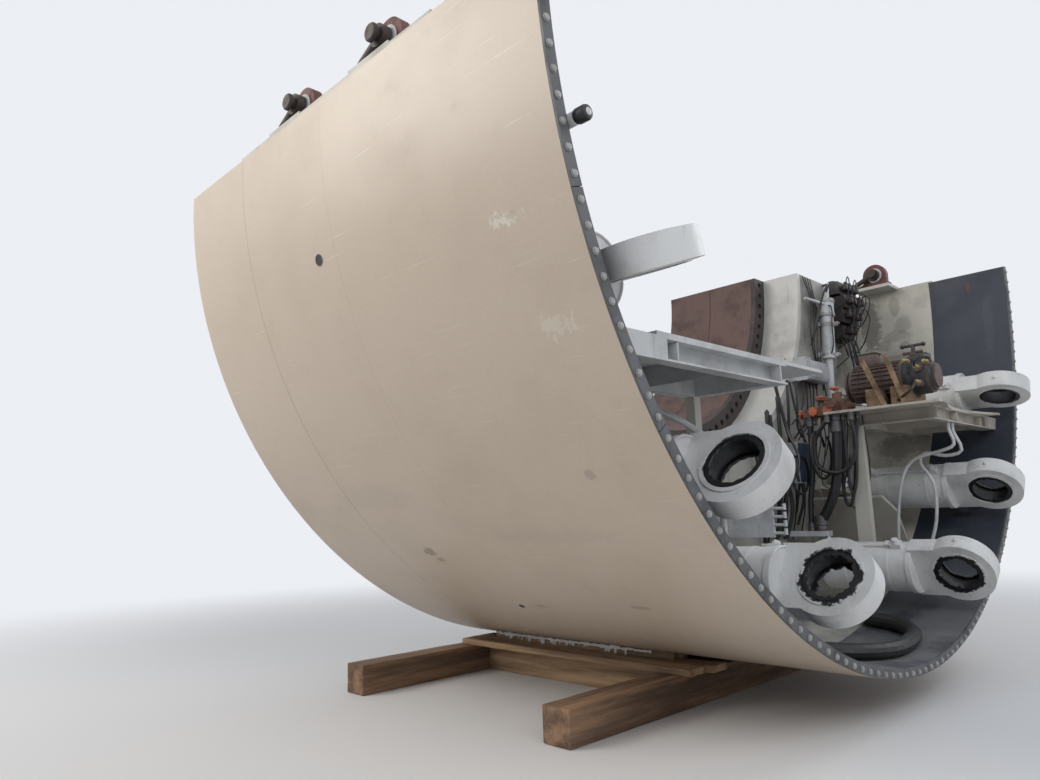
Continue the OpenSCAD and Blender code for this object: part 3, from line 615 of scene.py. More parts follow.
def smudge():
    """A patch with a ragged edge, from its middle, half sizes and place on the shell."""
    inputs = [
        ("Vector", "Vector", None),
        ("Along", "Float", 0.0),
        ("Degrees", "Float", 0.0),
        ("Middle", "Float", 0.0),
        ("Middle Degrees", "Float", 0.0),
        ("Length", "Float", 0.1),
        ("Width", "Float", 2.0),
        ("Rag", "Float", 0.6),
    ]

    def build(tree, given):
        x = maths(tree, "DIVIDE", less(tree, given["Along"], given["Middle"]), given["Length"])
        y = maths(tree, "DIVIDE", less(tree, given["Degrees"], given["Middle Degrees"]), given["Width"])
        far = distance(tree, x, y)
        grain = less(tree, noise(tree, given["Vector"], 24.0, 7.0, 0.75), 0.5)
        ragged = times(tree, grain, times(tree, given["Rag"], 2.0))
        return {"Mask": step(tree, less(tree, plus(tree, 1.0, ragged), far), 0.0, 0.35)}

    return effect("Smudge", inputs, [("Mask", "Float")], build)


def wood_grain():
    """Sawn wood: long grain, darker rings and dusty patches."""
    inputs = [
        ("Vector", "Vector", None),
        ("Light", "Color", (0.3, 0.2, 0.12, 1)),
        ("Dark", "Color", (0.1, 0.06, 0.04, 1)),
        ("Dust", "Color", (0.4, 0.37, 0.33, 1)),
    ]

    def build(tree, given):
        long = noise(tree, given["Vector"], 9.0, 8.0, 0.7)
        fine = noise(tree, given["Vector"], 42.0, 4.0, 0.6)
        cloud = noise(tree, given["Vector"], 1.4, 3.0)
        colour = blend(tree, step(tree, long, 0.36, 0.66), given["Dark"], given["Light"])
        dusty = times(tree, step(tree, cloud, 0.5, 0.8), 0.5)
        colour = blend(tree, dusty, colour, given["Dust"])
        high = plus(tree, long, times(tree, fine, 0.5))
        rough = plus(tree, 0.78, times(tree, fine, 0.2), True)
        return {"Color": colour, "Roughness": rough, "Height": high}

    return effect("Wood grain", inputs, SURFACE, build)


# Finishes: paint, worn, grime, scale, wear, dirt, roughness, metallic, bump
PLAIN = {
    "inner_paint": [
        (0.54, 0.52, 0.46), (0.18, 0.12, 0.09), (0.16, 0.145, 0.125), 1, 0.35, 0.5, 0.5, 0, 0.12,
    ],
    # The rear bulkhead's white paint, darker and dirtier than inner_paint: dirt together with painted shade
    # deep inside the section
    "bulkhead_paint_dirt_and_shade": [
        (0.38, 0.365, 0.33), (0.17, 0.12, 0.09), (0.1, 0.093, 0.083), 1.2, 0.4, 0.8, 0.5, 0, 0.12,
    ],
    "hub_paint": [(0.6, 0.59, 0.55), (0.2, 0.13, 0.1), (0.24, 0.22, 0.2), 1.4, 0.3, 0.5, 0.45, 0, 0.12],
    "rust_plate": [
        (0.13, 0.078, 0.066), (0.17, 0.085, 0.06), (0.05, 0.036, 0.035), 2.2, 0.6, 0.8, 0.68, 0, 0.4,
    ],
    "dark_iron": [
        (0.055, 0.042, 0.04), (0.13, 0.07, 0.045), (0.022, 0.019, 0.018), 3, 0.6, 0.6, 0.6, 0, 0.4,
    ],
    "rim_steel": [
        (0.115, 0.118, 0.125), (0.14, 0.09, 0.06), (0.035, 0.033, 0.032), 3, 0.5, 0.6, 0.5, 0.2, 0.2,
    ],
    "bolt_zinc": [(0.37, 0.365, 0.35), (0.24, 0.14, 0.08), (0.2, 0.17, 0.14), 7, 0.45, 0.55, 0.45, 0.2, 0.2],
    "weld_metal": [(0.42, 0.41, 0.38), (0.18, 0.12, 0.08), (0.16, 0.15, 0.13), 4, 0.5, 0.6, 0.5, 0, 0.3],
    "deck_paint": [(0.53, 0.535, 0.53), (0.18, 0.13, 0.1), (0.15, 0.148, 0.145), 2, 0.4, 0.5, 0.45, 0, 0.15],
    "deck_paint_far": [(0.52, 0.48, 0.42), (0.24, 0.16, 0.1), (0.17, 0.15, 0.13), 2, 0.5, 0.6, 0.5, 0, 0.15],
    "rod_steel": [(0.55, 0.56, 0.58), (0.12, 0.08, 0.06), (0.05, 0.05, 0.05), 3, 0.3, 0.7, 0.22, 0.85, 0.1],
    "pin_steel": [(0.12, 0.12, 0.125), (0.2, 0.1, 0.06), (0.05, 0.045, 0.04), 5, 0.5, 0.6, 0.5, 0.4, 0.3],
    # Black grease of the eye seals; the same near-black also paints the shade in the port holes
    "grease": [
        (0.007, 0.007, 0.008), (0.03, 0.028, 0.026), (0.005, 0.005, 0.005), 9, 0.4, 0.5, 0.38, 0, 0.9,
    ],
    "lug_red": [(0.13, 0.045, 0.038), (0.34, 0.31, 0.28), (0.045, 0.028, 0.025), 6, 0.45, 0.6, 0.62, 0, 0.4],
    "shackle_iron": [
        (0.055, 0.04, 0.035), (0.16, 0.08, 0.05), (0.03, 0.025, 0.02), 9, 0.65, 0.6, 0.55, 0.3, 0.5,
    ],
    "motor_brown": [
        (0.11, 0.075, 0.065), (0.24, 0.2, 0.18), (0.045, 0.038, 0.035), 5, 0.5, 0.7, 0.6, 0, 0.35,
    ],
    "pump_black": [
        (0.035, 0.037, 0.042), (0.16, 0.15, 0.14), (0.02, 0.02, 0.02), 6, 0.5, 0.6, 0.5, 0.2, 0.3,
    ],
    "orange_iron": [
        (0.17, 0.085, 0.055), (0.28, 0.11, 0.05), (0.045, 0.033, 0.03), 8, 0.7, 0.75, 0.65, 0, 0.4,
    ],
    "red_knob": [(0.5, 0.13, 0.06), (0.3, 0.1, 0.06), (0.14, 0.07, 0.045), 14, 0.4, 0.5, 0.45, 0, 0.15],
    "brass": [(0.42, 0.31, 0.14), (0.2, 0.13, 0.06), (0.12, 0.09, 0.05), 12, 0.4, 0.6, 0.4, 0.7, 0.2],
    "jack_paint": [(0.58, 0.6, 0.62), (0.2, 0.15, 0.12), (0.16, 0.15, 0.15), 3, 0.4, 0.55, 0.4, 0, 0.2],
    "box_grey": [(0.42, 0.43, 0.44), (0.2, 0.15, 0.12), (0.14, 0.13, 0.13), 3, 0.35, 0.55, 0.45, 0, 0.15],
    "tank_blue": [(0.02, 0.035, 0.08), (0.2, 0.18, 0.16), (0.02, 0.025, 0.035), 4, 0.45, 0.5, 0.45, 0, 0.2],
    "valve_black": [(0.045, 0.035, 0.035), (0.2, 0.1, 0.06), (0.02, 0.02, 0.02), 6, 0.5, 0.6, 0.5, 0.1, 0.3],
    "rubber": [
        (0.012, 0.012, 0.013), (0.05, 0.047, 0.044), (0.034, 0.032, 0.03), 4, 0.3, 0.35, 0.42, 0, 0.3,
    ],
    "pale_pipe": [(0.6, 0.61, 0.6), (0.3, 0.28, 0.25), (0.16, 0.16, 0.16), 5, 0.4, 0.5, 0.4, 0, 0.15],
    "white_paint": [(0.6, 0.6, 0.58), (0.22, 0.18, 0.15), (0.24, 0.22, 0.2), 8, 0.5, 0.55, 0.5, 0, 0.2],
    "foam": [(0.95, 0.94, 0.91), (0.85, 0.82, 0.75), (0.78, 0.74, 0.66), 9, 0.3, 0.12, 0.7, 0, 0.5],
}
# Wood: light, dark, dust, stretch of the grain
WOODS = {
    "beam_wood": [(0.33, 0.2, 0.115), (0.1, 0.06, 0.038), (0.27, 0.22, 0.17), (1, 0.07, 1)],
    "plank_wood": [(0.52, 0.35, 0.2), (0.2, 0.125, 0.075), (0.36, 0.3, 0.23), (0.07, 1, 1)],
    "block_wood": [(0.36, 0.24, 0.14), (0.13, 0.085, 0.05), (0.3, 0.25, 0.19), (1, 0.08, 1)],
}


def start_finish(name, metallic=0.0):
    """A new material with its shader and object coordinates."""
    made = bpy.data.materials.new(name + "_finish")
    made.use_nodes = True
    tree = made.node_tree
    shader = tree.nodes["Principled BSDF"]
    shader.inputs["Metallic"].default_value = metallic
    where = tree.nodes.new("ShaderNodeTexCoord").outputs["Object"]
    return made, tree, shader, where


def group(tree, made, **inputs):
    """Places an effect in a material."""
    node = tree.nodes.new("ShaderNodeGroup")
    node.node_tree = made
    for name, value in inputs.items():
        feed(tree, node.inputs[name.replace("_", " ")], value)
    return node.outputs


def connect(tree, shader, colour, rough, high, bump, depth=0.004):
    """Feeds a shader with colour, roughness and a bump."""
    tree.links.new(colour, shader.inputs["Base Color"])
    tree.links.new(rough, shader.inputs["Roughness"])
    raised = put(tree, "Bump", Strength=bump, Distance=depth, Height=high)
    tree.links.new(raised.outputs["Normal"], shader.inputs["Normal"])


def worn(tree, where, row):
    """The weathering effect with one row of values."""
    paint, bare, grime, scale, wear, dirt, shine = row[:7]
    colours = {"Paint": paint, "Worn": bare, "Grime": grime}
    return group(tree, weathering(), Vector=where, **colours, Scale=scale, Wear=wear, Dirt=dirt, Shine=shine)


# Marks on the shell's outside: place along, degrees, half length, half degrees, colour, strength, raggedness
OUTER_MARKS = [
    (-0.37, 71.9, 0.075, 0.65, (0.72, 0.68, 0.6), 0.7, 3.2),
    (-0.33, 72.0, 0.04, 0.4, (0.36, 0.29, 0.22), 0.4, 2.6),
    (-0.28, 63.4, 0.09, 0.9, (0.7, 0.65, 0.56), 0.45, 3.4),
    (-2.06, 41.5, 0.06, 0.8, (0.2, 0.15, 0.11), 0.6, 1.2),
    (-2.02, 40.2, 0.04, 0.5, (0.2, 0.15, 0.11), 0.5, 1.2),
    (-1.59, 31.0, 0.06, 0.4, (0.16, 0.12, 0.09), 0.4, 1.5),
    (-0.79, 32.6, 0.08, 0.35, (0.16, 0.12, 0.09), 0.35, 1.5),
    (-0.458, 50.8, 0.035, 0.6, (0.32, 0.27, 0.22), 0.55, 0.8),
    (-0.95, 44.0, 0.5, 1.2, (0.45, 0.38, 0.3), 0.3, 1.0),
    (-2.2, 50.0, 0.45, 2.2, (0.45, 0.38, 0.3), 0.25, 1.0),
    (-0.75, 12.0, 0.7, 2.4, (0.24, 0.19, 0.15), 0.4, 1.0),
    (-2.1, 14.0, 0.8, 2.0, (0.24, 0.19, 0.15), 0.4, 1.0),
]
# Smears on the inside of the main skin and of the tail skin, in the same terms; on the main skin the large
# dark patches are painted shade, low down mixed with dirt
INNER_MARKS = [
    (-1.0, -87.0, 0.06, 2.6, (0.13, 0.123, 0.11), 0.35, 0.6),
    (-0.93, -83.0, 0.09, 2.0, (0.14, 0.132, 0.12), 0.32, 0.6),
    (-1.0, -81.0, 0.16, 1.3, (0.14, 0.132, 0.12), 0.32, 0.6),
    (-1.12, -79.4, 0.08, 1.4, (0.13, 0.123, 0.11), 0.35, 0.6),
    (-0.92, -79.0, 0.06, 1.0, (0.12, 0.115, 0.1), 0.35, 0.6),
    # Painted shade in the corner along the rear bulkhead
    (-1.25, -84.0, 0.12, 6.0, (0.09, 0.085, 0.083), 0.6, 1.0),
    (-1.0, -76.0, 0.25, 1.6, (0.13, 0.12, 0.11), 0.5, 0.9),
    # Painted shadow under the far platform
    (-0.95, -58.0, 0.2, 3.0, (0.13, 0.12, 0.11), 0.5, 1.0),
    # Dirt together with painted shade, low under the far platform and at the bottom of the shell
    (-1.1, -30.0, 0.25, 6.0, (0.1, 0.095, 0.09), 0.6, 1.0),
    (-0.9, 10.0, 0.4, 9.0, (0.11, 0.105, 0.1), 0.5, 1.0),
]
TAIL_MARKS = [
    (-0.327, -42.8, 0.09, 0.8, (0.006, 0.006, 0.008), 0.95, 2.2),
    (-0.24, -44.2, 0.07, 0.5, (0.006, 0.006, 0.008), 0.95, 2.2),
    (-0.40, -44.0, 0.05, 0.4, (0.006, 0.006, 0.008), 0.9, 2.0),
    (-0.32, -87.5, 0.02, 1.2, (0.12, 0.05, 0.03), 0.7, 1.6),
    (-0.18, -80.0, 0.05, 7.0, (0.05, 0.06, 0.08), 0.5, 1.0),
    (-0.304, -22.2, 0.035, 0.4, (0.02, 0.02, 0.025), 0.85, 1.6),
    (-0.12, -21.8, 0.03, 0.4, (0.02, 0.02, 0.025), 0.8, 1.6),
    (-0.35, -6.0, 0.3, 7.0, (0.16, 0.155, 0.155), 0.55, 1.2),
]


# Shell finishes: row of the paint inside, its marks, how much dust lies at the bottom
SHELL_INSIDES = {
    "shell_paint": (
        [(0.56, 0.535, 0.46), (0.2, 0.17, 0.14), (0.17, 0.155, 0.135), 1.5, 0.25, 0.55, 0.5],
        INNER_MARKS, 0.8,
    ),
    "tail_steel": (
        [(0.024, 0.031, 0.047), (0.08, 0.072, 0.066), (0.05, 0.055, 0.066), 1.7, 0.4, 0.75, 0.5],
        TAIL_MARKS, 0.75,
    ),
}
# Weld seam and lap across the skin: distance ahead of the rear rim
SEAM_AT = 2.46
LAP_AT = 1.57
CYLINDER_PAINT = [(0.7, 0.7, 0.685), (0.16, 0.14, 0.13), (0.27, 0.262, 0.25), 2.4, 0.4, 0.45, 0.42]


def marked(tree, where, place, colour, marks):
    """Lays ragged marks over a colour."""
    for middle, degrees, length, width, tint, strength, rag in marks:
        mask = group(
            tree, smudge(), Vector=where, Along=place["Along"], Degrees=place["Degrees"], Middle=middle,
            Middle_Degrees=degrees, Length=length, Width=width, Rag=rag,
        )["Mask"]
        colour = blend(tree, times(tree, mask, strength), colour, tint)
    return colour


def shell_finish(name):
    """Paint outside and another finish inside, told apart by the radius."""
    inner, inner_marks, dusty = SHELL_INSIDES[name]
    looks = bpy.context.scene.shield_looks
    outer = [looks.shell_paint, (0.4, 0.3, 0.2), (0.42, 0.34, 0.26), 0.8, 0.12, looks.shell_dirt, 0.36]
    made, tree, shader, where = start_finish(name)
    place = group(tree, shell_place(), Vector=where)
    round_way = times(tree, place["Degrees"], SHELL_R * math.pi / 180)
    flat = put(tree, "CombineXYZ", X=place["Along"], Y=round_way).outputs[0]
    out = worn(tree, flat, outer)
    seam = maths(tree, "ABSOLUTE", plus(tree, place["Along"], SEAM_AT))
    seam = rest(tree, step(tree, seam, 0.003, 0.009))
    lap = maths(tree, "ABSOLUTE", plus(tree, place["Along"], LAP_AT))
    lapped = times(tree, rest(tree, step(tree, lap, 0.002, 0.007)), 0.4)
    seam = maths(tree, "MAXIMUM", seam, lapped)
    scratch = noise(tree, stretched(tree, flat, (0.5, 22, 1)), 3.0, 3.0)
    scratched = times(tree, step(tree, scratch, 0.66, 0.7), 0.35)
    # Painted shade: the outside darkens smoothly towards the bottom, by angle alone, up to 0.4 of a dark
    # brown
    low = times(tree, rest(tree, step(tree, place["Degrees"], 4.0, 42.0)), 0.4)
    outside = marked(tree, where, place, out["Color"], OUTER_MARKS)
    outside = blend(tree, low, outside, (0.33, 0.25, 0.18))
    outside = blend(tree, times(tree, seam, 0.4), outside, (0.3, 0.25, 0.2))
    outside = blend(tree, scratched, outside, (0.78, 0.72, 0.62))
    ins = worn(tree, where, inner)
    inside = marked(tree, where, place, ins["Color"], inner_marks)
    bottom = rest(tree, step(tree, maths(tree, "ABSOLUTE", place["Degrees"]), 10.0, 38.0))
    patches = step(tree, noise(tree, where, 2.6), 0.3, 0.6)
    dust = times(tree, times(tree, bottom, dusty), patches)
    inside = blend(tree, dust, inside, (0.2, 0.2, 0.205))
    is_out = step(tree, place["Radius"], SHELL_R - 0.03, SHELL_R - 0.02)
    colour = blend(tree, is_out, inside, outside)
    rough = put(tree, "Mix", i0=is_out, i2=ins["Roughness"], i3=out["Roughness"]).outputs[0]
    high = put(tree, "Mix", i0=is_out, i2=ins["Height"], i3=out["Height"]).outputs[0]
    connect(tree, shader, colour, rough, plus(tree, high, seam), 0.18, 0.003)
    return made


def cylinder_finish(number):
    """White cylinder paint with black grease round the eye and on the gland's end."""
    degrees, turn = CYLINDERS[number]
    made, tree, shader, where = start_finish(f"cylinder_paint_{number + 1}")
    back = ring_frame(degrees, CYLINDER_CIRCLE, turn).inverted()
    moved = {"Location": back.to_translation(), "Rotation": back.to_euler()}
    local = put(tree, "Mapping", Vector=where, **moved).outputs[0]
    out = worn(tree, where, CYLINDER_PAINT)
    spot = put(tree, "SeparateXYZ", Vector=local).outputs
    far = distance(tree, less(tree, spot[0], EYE.x), spot[2])
    rag = noise(tree, where, 16.0, 7.0, 0.75)
    uneven = times(tree, less(tree, rag, 0.42), GREASE_REACH[number] * 7)
    edge = plus(tree, EYE_BORE_R + 0.002, uneven)
    greasy = step(tree, less(tree, edge, far), 0.0, 0.004)
    speck = times(tree, step(tree, noise(tree, where, 22.0, 5.0, 0.8), 0.66, 0.69), 0.7)
    spread = times(tree, rest(tree, step(tree, far, 0.15, 0.26)), speck)
    front = rest(tree, step(tree, spot[0], BARREL_FRONT - 0.02, BARREL_FRONT + 0.07))
    front = times(tree, front, step(tree, noise(tree, where, 7.0), 0.35, 0.6))
    mask = maths(tree, "MAXIMUM", greasy, maths(tree, "MAXIMUM", spread, times(tree, front, 0.75)))
    colour = blend(tree, mask, out["Color"], (0.014, 0.014, 0.015))
    connect(tree, shader, colour, out["Roughness"], plus(tree, out["Height"], mask), 0.2)
    return made


def finish(name):
    """The material of that name, made when it is first asked for."""
    made = bpy.data.materials.get(name + "_finish")
    if made is not None:
        return made
    if name in SHELL_INSIDES:
        return shell_finish(name)
    if name in WOODS:
        light, dark, dust, stretch = WOODS[name]
        made, tree, shader, where = start_finish(name)
        along = stretched(tree, where, stretch)
        out = group(tree, wood_grain(), Vector=along, Light=light, Dark=dark, Dust=dust)
        connect(tree, shader, out["Color"], out["Roughness"], out["Height"], 0.5, 0.006)
        return made
    if name.startswith("cylinder_paint_"):
        return cylinder_finish(int(name[-1]) - 1)
    row = PLAIN[name]
    made, tree, shader, where = start_finish(name, row[7])
    out = worn(tree, where, row)
    connect(tree, shader, out["Color"], out["Roughness"], out["Height"], row[8])
    return made


# Finish of each CAD node
NODE_FINISHES = {
    "main_skin": "shell_paint", "tail_skin": "tail_steel", "rim_strip": "rim_steel",
    "front_ring": "inner_paint", "edge_bars": "inner_paint", "rear_bulkhead": "bulkhead_paint_dirt_and_shade",
    "front_bulkhead": "inner_paint", "radial_webs": "inner_paint", "gusset_plates": "inner_paint",
    "hub_ring": "hub_paint", "flange_ring": "dark_iron", "drive_housing": "rust_plate",
    "clevis_brackets": "inner_paint", "base_pins": "pin_steel", "near_platform": "deck_paint",
    "far_platform": "deck_paint_far", "deck_posts": "inner_paint", "pump_set": "motor_brown",
    "deck_blocks": "block_wood", "valve_manifold": "orange_iron", "upright_jack": "jack_paint",
    "service_boxes": "box_grey", "valve_stack": "valve_black", "hose_rails": "jack_paint",
    "black_hoses": "rubber", "white_pipes": "pale_pipe", "lifting_lugs": "lug_red",
    "cross_beams": "beam_wood", "long_planks": "plank_wood",
}


class ShieldLooks(bpy.types.PropertyGroup):
    """Sizes and colours that a user would change."""

    shell_paint: bpy.props.FloatVectorProperty(
        name="Shell paint", description="Colour of the shell's outside", subtype="COLOR",
        default=(0.57, 0.475, 0.375), min=0, max=1,
    )
    shell_dirt: bpy.props.FloatProperty(
        name="Shell dirt", description="How dirty the shell's outside is",
        subtype="FACTOR", default=0.3, min=0, max=1,
    )
    rim_bolt: bpy.props.FloatProperty(
        name="Rim bolt", description="Head diameter of the rim bolts",
        subtype="DISTANCE", unit="LENGTH", default=0.027,
    )
    rim_bolt_count: bpy.props.IntProperty(
        name="Rim bolts", description="Bolts over half a turn of the rear rim", default=100, min=10
    )
    weld_size: bpy.props.FloatProperty(
        name="Weld size", description="Thickness of the weld beads",
        subtype="DISTANCE", unit="LENGTH", default=0.016,
    )
    floor_tone: bpy.props.FloatProperty(
        name="Floor tone", description="Grey of the floor", subtype="FACTOR", default=0.7, min=0, max=1
    )


class SHIELD_OT_finishes(bpy.types.Operator):
    """Gives every CAD node its finish"""

    bl_idname = "shield.finishes"
    bl_label = "Finishes"

    def execute(self, context):
        for name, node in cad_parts.items():
            looks = NODE_FINISHES.get(name)
            if name.startswith("barrel_"):
                looks = "cylinder_paint_" + name[-1]
            elif name.startswith("rod_"):
                looks = "rod_steel"
            elif name.startswith("shackle_"):
                looks = "shackle_iron"
            if looks is None:
                raise RuntimeError(f"node {name} has no finish")
            node.data.materials.clear()
            node.data.materials.append(finish(looks))
            take(node)
            bpy.ops.object.shade_smooth_by_angle(angle=SMOOTH_NODE)
        return {"FINISHED"}


class SHIELD_OT_rim_bolts(bpy.types.Operator):
    """Domed heads of the bolts round the rear rim"""

    bl_idname = "shield.rim_bolts"
    bl_label = "Rim bolts"

    def execute(self, context):
        looks = context.scene.shield_looks
        rng = random.Random(5)
        d = looks.rim_bolt
        flange = [(0, 0), (0.62 * d, 0), (0.62 * d, 0.003)]
        dome = [(0.5 * d, 0.0035), (0.48 * d, 0.009), (0.34 * d, 0.0135), (0, 0.015)]
        head = turned(flange + dome, sides=12, closed=False)
        pitch = 180 / looks.rim_bolt_count
        lean = 0.06
        places = []
        for number in range(looks.rim_bolt_count):
            spot = round_shell(0, -90 + (number + 0.5) * pitch, SHELL_R - RIM_BOLT_IN)
            way = Vector((1, rng.uniform(-lean, lean), rng.uniform(-lean, lean)))
            places.append(aim(spot, way, rng.random()))
        piece(copies(head, places), "rim_bolts", "bolt_zinc")
        return {"FINISHED"}


class SHIELD_OT_shell_fittings(bpy.types.Operator):
    """Rings of the ports in the skin with near-black discs in them as painted shade of the holes, and the
    sleeve on the end of the grease pipe
    """

    bl_idname = "shield.shell_fittings"
    bl_label = "Shell fittings"

    def execute(self, context):
        rings = []
        plugs = []
        for x, degrees, d in PORTS:
            spot = round_shell(x, degrees, SHELL_R - 0.001)
            out = spot - at(x, 0, 0)
            rings.append(ring(0.5 * d, 0.42 * d, 0.004, spot, out, 0.0012))
            # Painted shade: a near-black disc in the grease finish stands for the shade inside the port's
            # hole
            plug = [(0, 0), (0.43 * d, 0), (0.43 * d, 0.0025), (0, 0.0028)]
            plugs.append(turned(plug, spot, out, closed=False))
        piece(rings, "port_rings", "rim_steel")
        piece(plugs, "port_hole_shade", "grease")
        pipe_end = round_shell(0.02, 76.7, SKIN_IN - 0.0273)
        piece([bar(0.062, 0.062, pipe_end, TAILWARD, 0.012)], "pipe_sleeve", "rubber")
        return {"FINISHED"}


class SHIELD_OT_weld_beads(bpy.types.Operator):
    """Weld beads along the seams of the bulkheads, clevises, gussets and lugs"""

    bl_idname = "shield.weld_beads"
    bl_label = "Weld beads"

    def execute(self, context):
        self.rng = random.Random(11)
        size = context.scene.shield_looks.weld_size
        self.bulkheads(size)
        self.clevises(size * 0.8)
        self.plates(size * 0.7, size * 0.8)
        return {"FINISHED"}

    def seam(self, there, start, end, gap, size):
        """A bead along a straight seam in a frame."""
        return weld([there @ spot for spot in path(start, end, gap)], size, self.rng)

    def bulkheads(self, size):
        """The long beads between the bulkheads and the skin."""
        radius = SKIN_IN - 0.003
        gap = 0.014
        count = int(radius * math.pi / gap)
        beads = []
        for x in (BULK - REAR + 0.002, BULK - REAR - 0.042, FRONT - REAR + 0.602):
            arc = [round_shell(x, -89.8 + 179.6 * n / count, radius) for n in range(count + 1)]
            beads.append(weld(arc, size, self.rng))
        piece(beads, "bulkhead_welds", "weld_metal")

    def clevises(self, size):
        """The beads round each clevis's cheeks and base plate."""
        face = BULK + 0.041
        foot = BULK + 0.003
        beads = []
        for degrees, _ in CYLINDERS:
            there = ring_frame(degrees, CYLINDER_CIRCLE)
            for side in (-1, 1):
                for up in (-CHEEK_HALF, CHEEK_HALF):
                    end = [(face, side * y, up) for y in CHEEK_SIDES]
                    beads.append(self.seam(there, *end, 0.008, size))
                for x, y, half in ((foot, *CLEVIS_BASE), (face, CHEEK_SIDES[1] + 0.001, CHEEK_HALF)):
                    flank = (x, side * y, -half), (x, side * y, half)
                    beads.append(self.seam(there, *flank, 0.01, size))
        piece(beads, "clevis_welds", "weld_metal")

    def plates(self, size, lug_size):
        """The beads of the gusset plates and the lifting lugs."""
        beads = []
        for degrees in GUSSETS:
            there = ring_frame(degrees, SKIN_IN)
            for side in (-1, 1):
                back = (BULK + 0.002, side * 0.016, 0.01), (BULK + 0.002, side * 0.016, 0.5)
                beads.append(self.seam(there, *back, 0.012, size))
                foot = (BULK + 0.02, side * 0.017, 0.001), (TAIL - 0.005, side * 0.017, 0.001)
                beads.append(self.seam(there, *foot, 0.012, size))
        for x, side in LUGS:
            for across in (-0.033, 0.033):
                y = side * LUG_Y + across
                foot = at(-x - 0.14, y, 0.032), at(-x + 0.14, y, 0.032)
                beads.append(self.seam(SECTION, *foot, 0.01, lug_size))
        piece(beads, "plate_welds", "weld_metal")


class SHIELD_OT_cylinders(bpy.types.Operator):
    """Seals, glands, ports and clamps of the articulation cylinders"""

    bl_idname = "shield.cylinders"
    bl_label = "Cylinder fittings"

    def execute(self, context):
        for number, (degrees, turn) in enumerate(CYLINDERS):
            name = str(number + 1)
            paint = "cylinder_paint_" + name
            body = "barrel_" + name
            there = ring_frame(degrees, CYLINDER_CIRCLE, turn)
            rng = random.Random(40 + number)
            piece(self.seals(rng, EYE_TEAR[number]), "eye_seal_" + name, "grease", body, there)
            piece(self.fittings(), "cylinder_fittings_" + name, paint, body, there)
            piece(self.bands(rng), "cylinder_bands_" + name, paint, body, there)
        return {"FINISHED"}

    def seals(self, rng, torn):
        """The torn lips on both faces of the eye, and the liner between them."""
        parts = []
        for side in (-1, 1):
            face = (EYE.x, side * (EYE_HALF - 0.015), 0)
            lip = ring(EYE_BORE_R - 0.001, LIP_R, 0.016, face, (0, side, 0), 0.003, 96)
            self.tear(lip, rng, torn)
            parts.append(lip)
        parts.append(ring(EYE_BORE_R - 0.002, 0.135, 0.11, (EYE.x, -0.055, 0), (0, 1, 0), 0.003, 64))
        return parts

    def tear(self, lip, rng, torn):
        """Pulls the inner rim in and out, as torn rubber has it."""
        waves = [(rng.randint(3, 23), rng.random() * 6.28, rng.random()) for _ in range(9)]
        for vertex in lip.data.vertices:
            x, z = vertex.co.x - EYE.x, vertex.co.z
            far = math.hypot(x, z)
            if far < TORN_R:
                turn = math.atan2(z, x)
                pull = sum(w * math.sin(k * turn + p) for k, p, w in waves) / 3
                scale = (far - 0.004 + torn * pull) / far
                vertex.co.x = EYE.x + x * scale
                vertex.co.z = z * scale

    def fittings(self):
        """Gland nuts, the two port unions with the bleed plug, and the grease nipple on the eye."""
        parts = []
        for turn in steps_round(8, 22.5):
            parts.append(nut(0.024, 0.014, circle_x(GLAND_FRONT, GLAND_BOLTS_R, turn), FRONTWARD))
        front_port = BARREL_FRONT + 0.065
        for x in (front_port, BARREL_END - 0.1):
            parts.append(nut(0.042, 0.03, (x, 0, BARREL_R + 0.033)))
        parts.append(bar(0.026, 0.02, (front_port, 0, BARREL_R + 0.06)))
        nipple = EYE.x + 0.02
        parts.append(nut(0.02, 0.016, (nipple, 0, EYE_R - 0.001)))
        parts.append(bar(0.009, 0.014, (nipple, 0, EYE_R + 0.014), edge=0.002, sides=12))
        return parts

    def bands(self, rng):
        """The clamps that hold the oil pipe, and the bead between barrel and eye plate."""
        parts = []
        for x in (BARREL_FRONT + 0.16, BARREL_END - 0.17):
            parts.append(ring(BARREL_R + 0.003, BARREL_R - 0.001, 0.022, (x, 0, 0), TAILWARD, 0.001, 72))
            parts.append(block((0.03, 0.05, 0.012), (x + 0.011, 0, BARREL_R + 0.028), edge=0.002))
        x = BARREL_END + 0.001
        turns = [k * math.pi / 40 for k in range(81)]
        parts.append(weld([circle_x(x, BARREL_R + 0.001, turn) for turn in turns], 0.012, rng))
        return parts


class SHIELD_OT_decks(bpy.types.Operator):
    """Stiffeners and bolts of the two platforms"""

    bl_idname = "shield.decks"
    bl_label = "Platform fittings"

    def execute(self, context):
        for name, side, finish_name, over, stiff in DECK_ROWS:
            low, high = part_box(name)
            inner = min(abs(low.y), abs(high.y))
            ends = (low.x + over, high.x - over)
            plates = []
            for y in [inner + reach for reach in stiff] + [2.3]:
                for x in (ends[0] + 0.03, ends[1] - 0.03):
                    plates.append(block((0.05, 0.01, 0.08), (x, side * y, DECK - 0.069), edge=0.002))
            piece(plates, name + "_stiffeners", finish_name)
            bolts = []
            for k in range(5):
                y = side * (inner + 0.1 + 0.32 * k)
                for x in (ends[0] + 0.045, ends[1] - 0.045):
                    head = [(0, 0), (0.016, 0), (0.015, 0.004), (0, 0.006)]
                    bolts.append(turned(head, (x, y, DECK), sides=12, closed=False))
            piece(bolts, name + "_bolts", "bolt_zinc")
        return {"FINISHED"}


